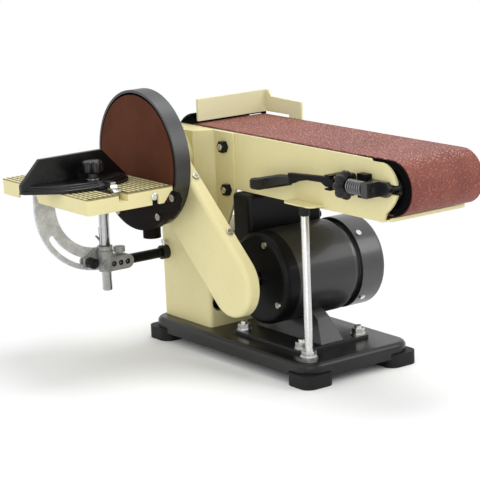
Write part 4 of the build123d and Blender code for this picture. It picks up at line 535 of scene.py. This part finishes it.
# Tracking knob and spring: a knob of eight lobes, moulded in black plastic on its bolt.
# It turns against a coiled spring of bare steel wire to set the belt's track.
spring_steel = plated_steel("spring_steel", srgb(126, 126, 128), rough=0.3)
dress("tracking_spring", spring_steel)
grip_plastic = moulded_plastic("grip_plastic", srgb(13, 13, 14), rough=0.28, shine=0.35)
slide_y = -22
tracking_centre = place(299, slide_y, 0)
tracking_profile = [
    (-6.5, 6.0, 0), (-6.5, 7.5, 0), (-5.6, 8.6, 0), (-4.6, 9.6, 0.6), (-3.6, 12.6, 2.6), (-2.6, 13.6, 3.2),
    (-1.2, 14.0, 3.4), (3.4, 14.0, 3.4), (4.6, 13.6, 3.2), (5.4, 12.4, 2.4), (5.9, 9.2, 0.6), (6.5, 8.2, 0),
    (6.5, 4, 0),
]
tracking_grip = lobed_grip(tracking_profile, lobes=8, centre=tracking_centre, axis=(1, 0, 0), side=(0, 1, 0))
stand(tracking_grip, "tracking_grip", grip_plastic, "tracking", "tracking_knob")

# Tension lever: a flat steel bar, sprayed black, that turns on an upright pin in its bracket.
# A plastic grip of eight flats is pushed on its end.
dress("lever_bracket", black_paint, edge=0.5)


def flatted_bar(stations, chamfer):
    """Bar of eight flats through (x, top, bottom, half thickness) stations along the lever."""
    shape = bmesh.new()
    rings = []
    for x, top, bottom, half in stations:
        cut = min(chamfer, half * 0.7)
        outline = [(half, bottom + cut), (half, top - cut), (half - cut, top), (cut - half, top),
                   (-half, top - cut), (-half, bottom + cut), (cut - half, bottom), (half - cut, bottom)]
        rings.append([shape.verts.new(place(x, slide_y + y, z)) for y, z in outline])
    skin(shape, rings)
    return shape


bar_stations = [(282, 4.4, -5.3, 2.6), (281, 5, -5.8, 3), (268, 5, -5.8, 3), (261, 4.8, -2.2, 3),
                (237, 3.2, -3, 3), (222, 2.2, -5.8, 3), (212, 1.6, -9.6, 3), (204, 1, -11.2, 3)]
grip_stations = [(206, -2.4, -12, 2.6), (205.2, -1.7, -12.9, 3.4), (186, -3, -17.2, 4),
                 (160, -8.9, -23.2, 4), (148, -11.7, -26, 4), (138, -13.4, -26.4, 4),
                 (134.4, -14.2, -26.4, 3.8), (133.2, -15.2, -25.4, 3.0)]
lever_bar = flatted_bar(bar_stations, chamfer=1.0)
lever_grip = flatted_bar(grip_stations, chamfer=2.2)
stand(lever_bar, "lever_bar", black_paint, "lever", "tension_lever")
stand(lever_grip, "lever_grip", grip_plastic, "lever")

# Table support: a black steel bar from the column's sleeve, and a block of cast aluminium clamped on its end.
# The block grips a bright drawn post; its small screws are blued, and the upper one has a grey cast knob.


def sand_casting(name, colour, stud=None):
    """Raw cast aluminium: a coarse skin, grey blooms and a weak shine.

    stud, where given, is (x, z, stud colour), in metres, of a steel end that lies beyond x and below z.
    """
    material, shader, at = new_finish(name)
    skin_grain = noise(at, scale=700, detail=4, rough=0.6)
    bloom = noise(at, scale=90, detail=4, rough=0.7)
    tone = (skin_grain * 0.3 + bloom * 0.7).over(0.36, 0.64).tint(shaded(colour, 0.66), colour)
    if stud:
        stud_x, stud_z, stud_colour = stud
        tone = ((at.along("X") > stud_x) * (at.along("Z") < stud_z)).tint(tone, stud_colour)
    feed(shader, Base_Color=tone, Metallic=0.35, Roughness=0.55 + skin_grain.swing(0.25))
    feed(shader, Normal=bump(skin_grain, strength=0.3, distance=0.0004))
    return material


def clamp_screw_steel(name, knob_z):
    """Blued steel below knob_z, in metres, and a plain grey casting above it."""
    material, shader, at = new_finish(name)
    grain = noise(at, scale=500, detail=3)
    shade = grain.over(0.3, 0.7)
    blued = shade.tint(srgb(9, 9, 10), srgb(16, 16, 17))
    grey = shade.tint(srgb(136, 136, 136), srgb(170, 170, 169))
    feed(shader, Base_Color=(at.along("Z") > knob_z).tint(blued, grey), Roughness=0.5 + grain.swing(0.2))
    feed(shader, Normal=bump(grain, strength=0.2, distance=0.0003), Specular_IOR_Level=0.3)
    return material


dress("support_bar", black_paint, edge=0.6)
block_grey = srgb(164, 164, 163)
block_cast = sand_casting("block_casting", block_grey)
dress("clamp_block", block_cast, edge=1.2)
screw_steel = clamp_screw_steel("clamp_screw_steel", knob_z=0.1142)
dress("clamp_screws", screw_steel, edge=0.4)
post_steel = plated_steel("post_steel", srgb(196, 196, 198), rough=0.14, stretch=(1, 1, 0.02))
dress("table_post", post_steel)

# Tilt lock: a cast bracket on the post, with a blued stud through the quadrant's slot.
# A small black plastic knob with eight lobes screws on the stud and locks the table's tilt.
stud_end = (-0.131, 0.118, srgb(22, 22, 23))
bracket_cast = sand_casting("bracket_casting", block_grey, stud=stud_end)
dress("tilt_bracket", bracket_cast, edge=0.6)
tilt_low, tilt_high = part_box("tilt_knob")
tilt_centre = (Vector(tilt_low) + Vector(tilt_high)) / 2
tilt_profile = [(-6.5, 4.2, 0), (-6.2, 5.2, 0.6), (-5.4, 5.9, 1.0), (4.6, 5.9, 1.0),
                (5.8, 5.4, 0.8), (6.5, 4.4, 0), (6.5, 2, 0)]
tilt_grip = lobed_grip(tilt_profile, lobes=8, centre=tilt_centre, axis=(1, 0, 0), side=(0, 1, 0))
stand(tilt_grip, "tilt_grip", black_plastic, "tilt_lock", "tilt_knob")

# Table top: cast aluminium with a skirt and a slot for the mitre's bar, sprayed cream.
# Its face is cast as rows of small flat pads; the groove floors between them are painted darker, partly for
# dust and partly as painted shade.
table_low, table_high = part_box("table_top")
table_face = table_high[2]
groove_depth = 0.0012
groove_floor = table_face - groove_depth
pitch_x, pitch_y = 0.0092, 0.0063
groove_x, groove_y = 0.0009, 0.0016
pad_bevel = 0.0003
pad_root = 0.0001
level_slack = 0.00001
slot_y = -158.5
slot_middle = place(0, slot_y, 0).y
slot_half = 0.0075
table_shape = bmesh.new()
table_shape.from_mesh(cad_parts["table_top"].data)
for corner in table_shape.verts:
    if corner.co.z > table_face - level_slack:
        corner.co.z -= groove_depth
for column in range(int((table_high[0] - table_low[0]) / pitch_x)):
    for row in range(int((table_high[1] - table_low[1]) / pitch_y)):
        x0 = table_low[0] + column * pitch_x + groove_x / 2
        y0 = table_low[1] + row * pitch_y + groove_y / 2
        x1 = x0 + pitch_x - groove_x
        y1 = y0 + pitch_y - groove_y
        if y1 > slot_middle - slot_half and y0 < slot_middle + slot_half:
            continue
        foot, head = [], []
        for x, y, in_x, in_y in ((x0, y0, 1, 1), (x1, y0, -1, 1), (x1, y1, -1, -1), (x0, y1, 1, -1)):
            foot.append(table_shape.verts.new((x, y, groove_floor - pad_root)))
            head.append(table_shape.verts.new((x + in_x * pad_bevel, y + in_y * pad_bevel, table_face)))
        for i in range(4):
            j = (i + 1) % 4
            table_shape.faces.new((foot[i], foot[j], head[j], head[i]))
        table_shape.faces.new(head)
padded_table = stand(table_shape, "padded_table", cream_paint, "table", "table_top")
# The groove floors' darker cream is partly dust and partly painted shade falling into the grooves.
groove_dust_and_shade = sprayed_paint("groove_dust_and_shade", srgb(134, 122, 82), srgb(112, 101, 67),
                             rough=0.7, coat=0.0, shine=0.2)
padded_table.data.materials.append(groove_dust_and_shade)
for face in padded_table.data.polygons:
    if groove_floor - 2 * pad_root < face.center.z < table_face - pad_root:
        face.material_index = 1

# Quadrant: a slotted arc of raw cast aluminium, screwed below the table, that sets its angle.
# A bright screw with a rounded head stands on the table's skirt.
cast = sand_casting("grey_casting", srgb(217, 217, 217))
dress("table_quadrant", cast, edge=0.6)
skirt_profile = [(-0.4, 3.8), (0.2, 4.5), (1.2, 4.5), (2.0, 3.6), (2.3, 1.8)]
skirt_spot = place(78, -117.5, -28.5)
skirt_screw = round_head(skirt_profile, skirt_spot, axis=(1, 0, 0), side=(0, 1, 0))
stand(skirt_screw, "skirt_screw", zinc, "table")

# Mitre bar and pointer: a chromed steel bar that slides in the table's slot.
# The pointer is a clip bent from thin chromed strip, fixed on the bar's end.
chrome = plated_steel("chrome_steel", srgb(182, 181, 177), rough=0.2, stretch=(0.03, 1, 1))
dress("mitre_bar", chrome, edge=0.3)
pointer_clip = [(57.6, -13.2), (59.6, -16.6), (63, -17.4), (66.8, -19.4),
                (67.4, -18.6), (63.4, -16.2), (60.4, -15.2), (58.8, -12.2)]
strip("pointer_clip", pointer_clip, near=-163.2, far=-153.8, chamfer=0.3,
      finish=chrome, body="mitre_carrier")

# Mitre head: one black plastic moulding, a half-round plate with a stepped rim and an upright blade.
# It turns about a screw in the bar.
mitre_x = 16
table_level = -20
head_turn = radians(92)


def on_head(along, across, height):
    """Model point from millimetres along the blade, across it to the back and above the table."""
    x = mitre_x + along * cos(head_turn) - across * sin(head_turn)
    y = slot_y + along * sin(head_turn) + across * cos(head_turn)
    return place(x, y, height + table_level)


def smooth_line(knots, steps):
    """Points on an even curve through the knots."""
    line = []
    padded = [Vector(knot) for knot in (knots[0], *knots, knots[-1])]
    for before, start, end, after in zip(padded, padded[1:], padded[2:], padded[3:]):
        slope = end - before
        bend = 2 * before - 5 * start + 4 * end - after
        twist = 3 * start - before - 3 * end + after
        for step in range(steps):
            t = step / steps
            line.append(start + (slope * t + bend * t**2 + twist * t**3) / 2)
    return [*line, padded[-1]]


head_shape = bmesh.new()
head_knots = [(-81, 21), (-51, -7.4), (-30, -16), (0, -20), (20, -13.6), (47, -1.6), (58.5, 21)]
head_height = 9.0
head_layers = [(0, 0.985), (0.6, 1), (3.6, 1), (4.2, 0.985), (4.5, 0.95), (6.0, 0.94), (6.5, 0.925),
               (6.8, 0.89), (8.4, 0.88), (head_height, 0.86), (head_height, 0.62), (8.2, 0.59), (8.2, 0.2)]
head_middle = (-10, 21)
stack(head_shape, smooth_line(head_knots, steps=12), head_middle, head_layers, on_head)
blade_outline = [(-82, 0.4), (60, 0.4), (60, 4), (28, 37), (-56, 37), (-82, 11)]
blade_layers = [(21, 0.98), (21.8, 1), (26.2, 1), (27, 0.98)]
blade_middle = (-11, 17)
stack(head_shape, blade_outline, blade_middle, blade_layers, lambda u, height, v: on_head(u, v, height))
stand(head_shape, "mitre_shell", grip_plastic, "mitre_fence", "mitre_head")

# Mitre lock: a knob of five lobes moulded in black plastic on a steel stud, with a chromed washer below it.
# It screws down on the head and locks its angle.
lock_foot = place(mitre_x, slot_y, table_level + head_height)
lock_profile = [(0.4, 6.8, 0), (1.0, 7.6, 0), (7.0, 7.2, 0), (7.8, 8.4, 0.4), (8.6, 10.6, 2.2),
                (9.6, 11.4, 2.8), (18.8, 11.4, 2.8), (20.0, 10.9, 2.4), (21.0, 9.4, 1.2),
                (21.6, 7.6, 0), (21.6, 3, 0)]
mitre_grip = lobed_grip(lock_profile, lobes=5, centre=lock_foot, axis=(0, 0, 1), side=(1, 0, 0))
stand(mitre_grip, "mitre_grip", grip_plastic, "mitre_lock", "mitre_knob")
washer_profile = [(0.2, 4.2), (0.2, 9.0), (0.5, 9.4), (1.4, 9.4), (1.8, 8.9), (1.8, 4.2)]
mitre_washer = round_head(washer_profile, lock_foot, axis=(0, 0, 1), side=(1, 0, 0), steps=120)
stand(mitre_washer, "mitre_washer", chrome, "mitre_lock")

# Floor: a wide pale sheet under the machine, matt, so that it keeps the soft shadow.
# Away from the machine it fades to plain white.
floor_half = 6
fade_start, fade_end = 0.28, 0.62


def looked_at(start):
    """1 for what is seen directly, in a mirror or through glass; 0 for the light that falls on a piece."""
    rays = [start.node("LightPath", outlet=f"Is {kind} Ray") for kind in ("Camera", "Glossy", "Transmission")]
    return start.math("MAXIMUM", start.math("MAXIMUM", rays[0], rays[1]), rays[2])


floor_mesh = bpy.data.meshes.new("floor")
floor_corners = [(x * floor_half, y * floor_half, 0) for x, y in ((-1, -1), (1, -1), (1, 1), (-1, 1))]
floor_mesh.from_pydata(floor_corners, [], [(0, 1, 2, 3)])
floor = bpy.data.objects.new("floor", floor_mesh)
bpy.context.scene.collection.objects.link(floor)
floor_finish = bpy.data.materials.new("pale_floor")
floor_finish.use_nodes = True
floor_finish.node_tree.nodes.clear()
sheet = Wire(floor_finish.node_tree)
floor_point = sheet.node("NewGeometry", outlet="Position")
distance = sheet.node("VectorMath", {"operation": "LENGTH"}, outlet="Value", in0=floor_point)
matt_sheet = sheet.node("BsdfDiffuse", Color=(0.93, 0.93, 0.93, 1))
white_sheet = sheet.node("Emission", Color=(1, 1, 1, 1), Strength=1.0)
fade = looked_at(sheet) * distance.over(fade_start, fade_end)
floor_output = floor_finish.node_tree.nodes.new("ShaderNodeOutputMaterial")
faded_sheet = sheet.node("MixShader", in0=fade, in1=matt_sheet, in2=white_sheet)
plug(faded_sheet, floor_output.inputs["Surface"])
floor_mesh.materials.append(floor_finish)

# Studio light: a white room with soft, slightly cool light from all round, and four square soft boxes.
# Their places and powers keep the cream below white and draw light edges on the black pieces.
room = bpy.data.worlds.new("studio")
bpy.context.scene.world = room
room.use_nodes = True
room.node_tree.nodes.clear()
walls = Wire(room.node_tree)
soft_light = walls.node("Background", Color=(0.96, 0.98, 1, 1), Strength=0.85)
white_wall = walls.node("Background", Color=(1, 1, 1, 1), Strength=1.0)
room_output = room.node_tree.nodes.new("ShaderNodeOutputWorld")
lit_or_white = walls.node("MixShader", in0=looked_at(walls), in1=soft_light, in2=white_wall)
plug(lit_or_white, room_output.inputs["Surface"])
for name, lamp_spot, aim, size, power in (
    ("key_lamp", (-0.3, -1.9, 0.8), (0, 0, 0.15), 1.4, 3),
    ("side_lamp", (1.4, 1.15, 1.2), (0, 0, 0.15), 1.0, 9),
    ("top_lamp", (-0.1, 0.4, 1.9), (0, 0, 0.1), 0.9, 13),
    ("front_lamp", (1.6, -1.5, 0.7), (0, 0, 0.15), 1.4, 8),
):
    light = bpy.data.lights.new(name, "AREA")
    light.size = size
    light.energy = power
    soft_box = bpy.data.objects.new(name, light)
    soft_box.location = lamp_spot
    soft_box.rotation_euler = (Vector(aim) - Vector(lamp_spot)).to_track_quat("-Z", "Y").to_euler()
    bpy.context.scene.collection.objects.link(soft_box)

# Camera: a long lens a little above the table, off the machine's front corner, as for a product photograph.
# Its focal length is in pixels of the square picture, and it is rolled a little about its line of sight.
picture_width = 480
focal_pixels = 1891.6
camera_spot = Vector((1.71466, -1.29217, 0.62125))
azimuth, elevation, roll = radians(54.07), radians(12.81), -0.041
back = Vector((sin(azimuth) * cos(elevation), -cos(azimuth) * cos(elevation), sin(elevation)))
right = Vector((cos(azimuth), sin(azimuth), 0))
up = back.cross(right)
rolled_right = right * cos(roll) + up * sin(roll)
rolled_up = up * cos(roll) - right * sin(roll)
lens = bpy.data.cameras.new("camera")
lens.sensor_width = 36
lens.lens = focal_pixels / picture_width * lens.sensor_width
lens.clip_end = 50
camera = bpy.data.objects.new("camera", lens)
turned_frame = Matrix((rolled_right, rolled_up, back)).transposed()
camera.matrix_world = Matrix.Translation(camera_spot) @ turned_frame.to_4x4()
bpy.context.scene.collection.objects.link(camera)
bpy.context.scene.camera = camera
bpy.context.scene.view_settings.view_transform = "Standard"
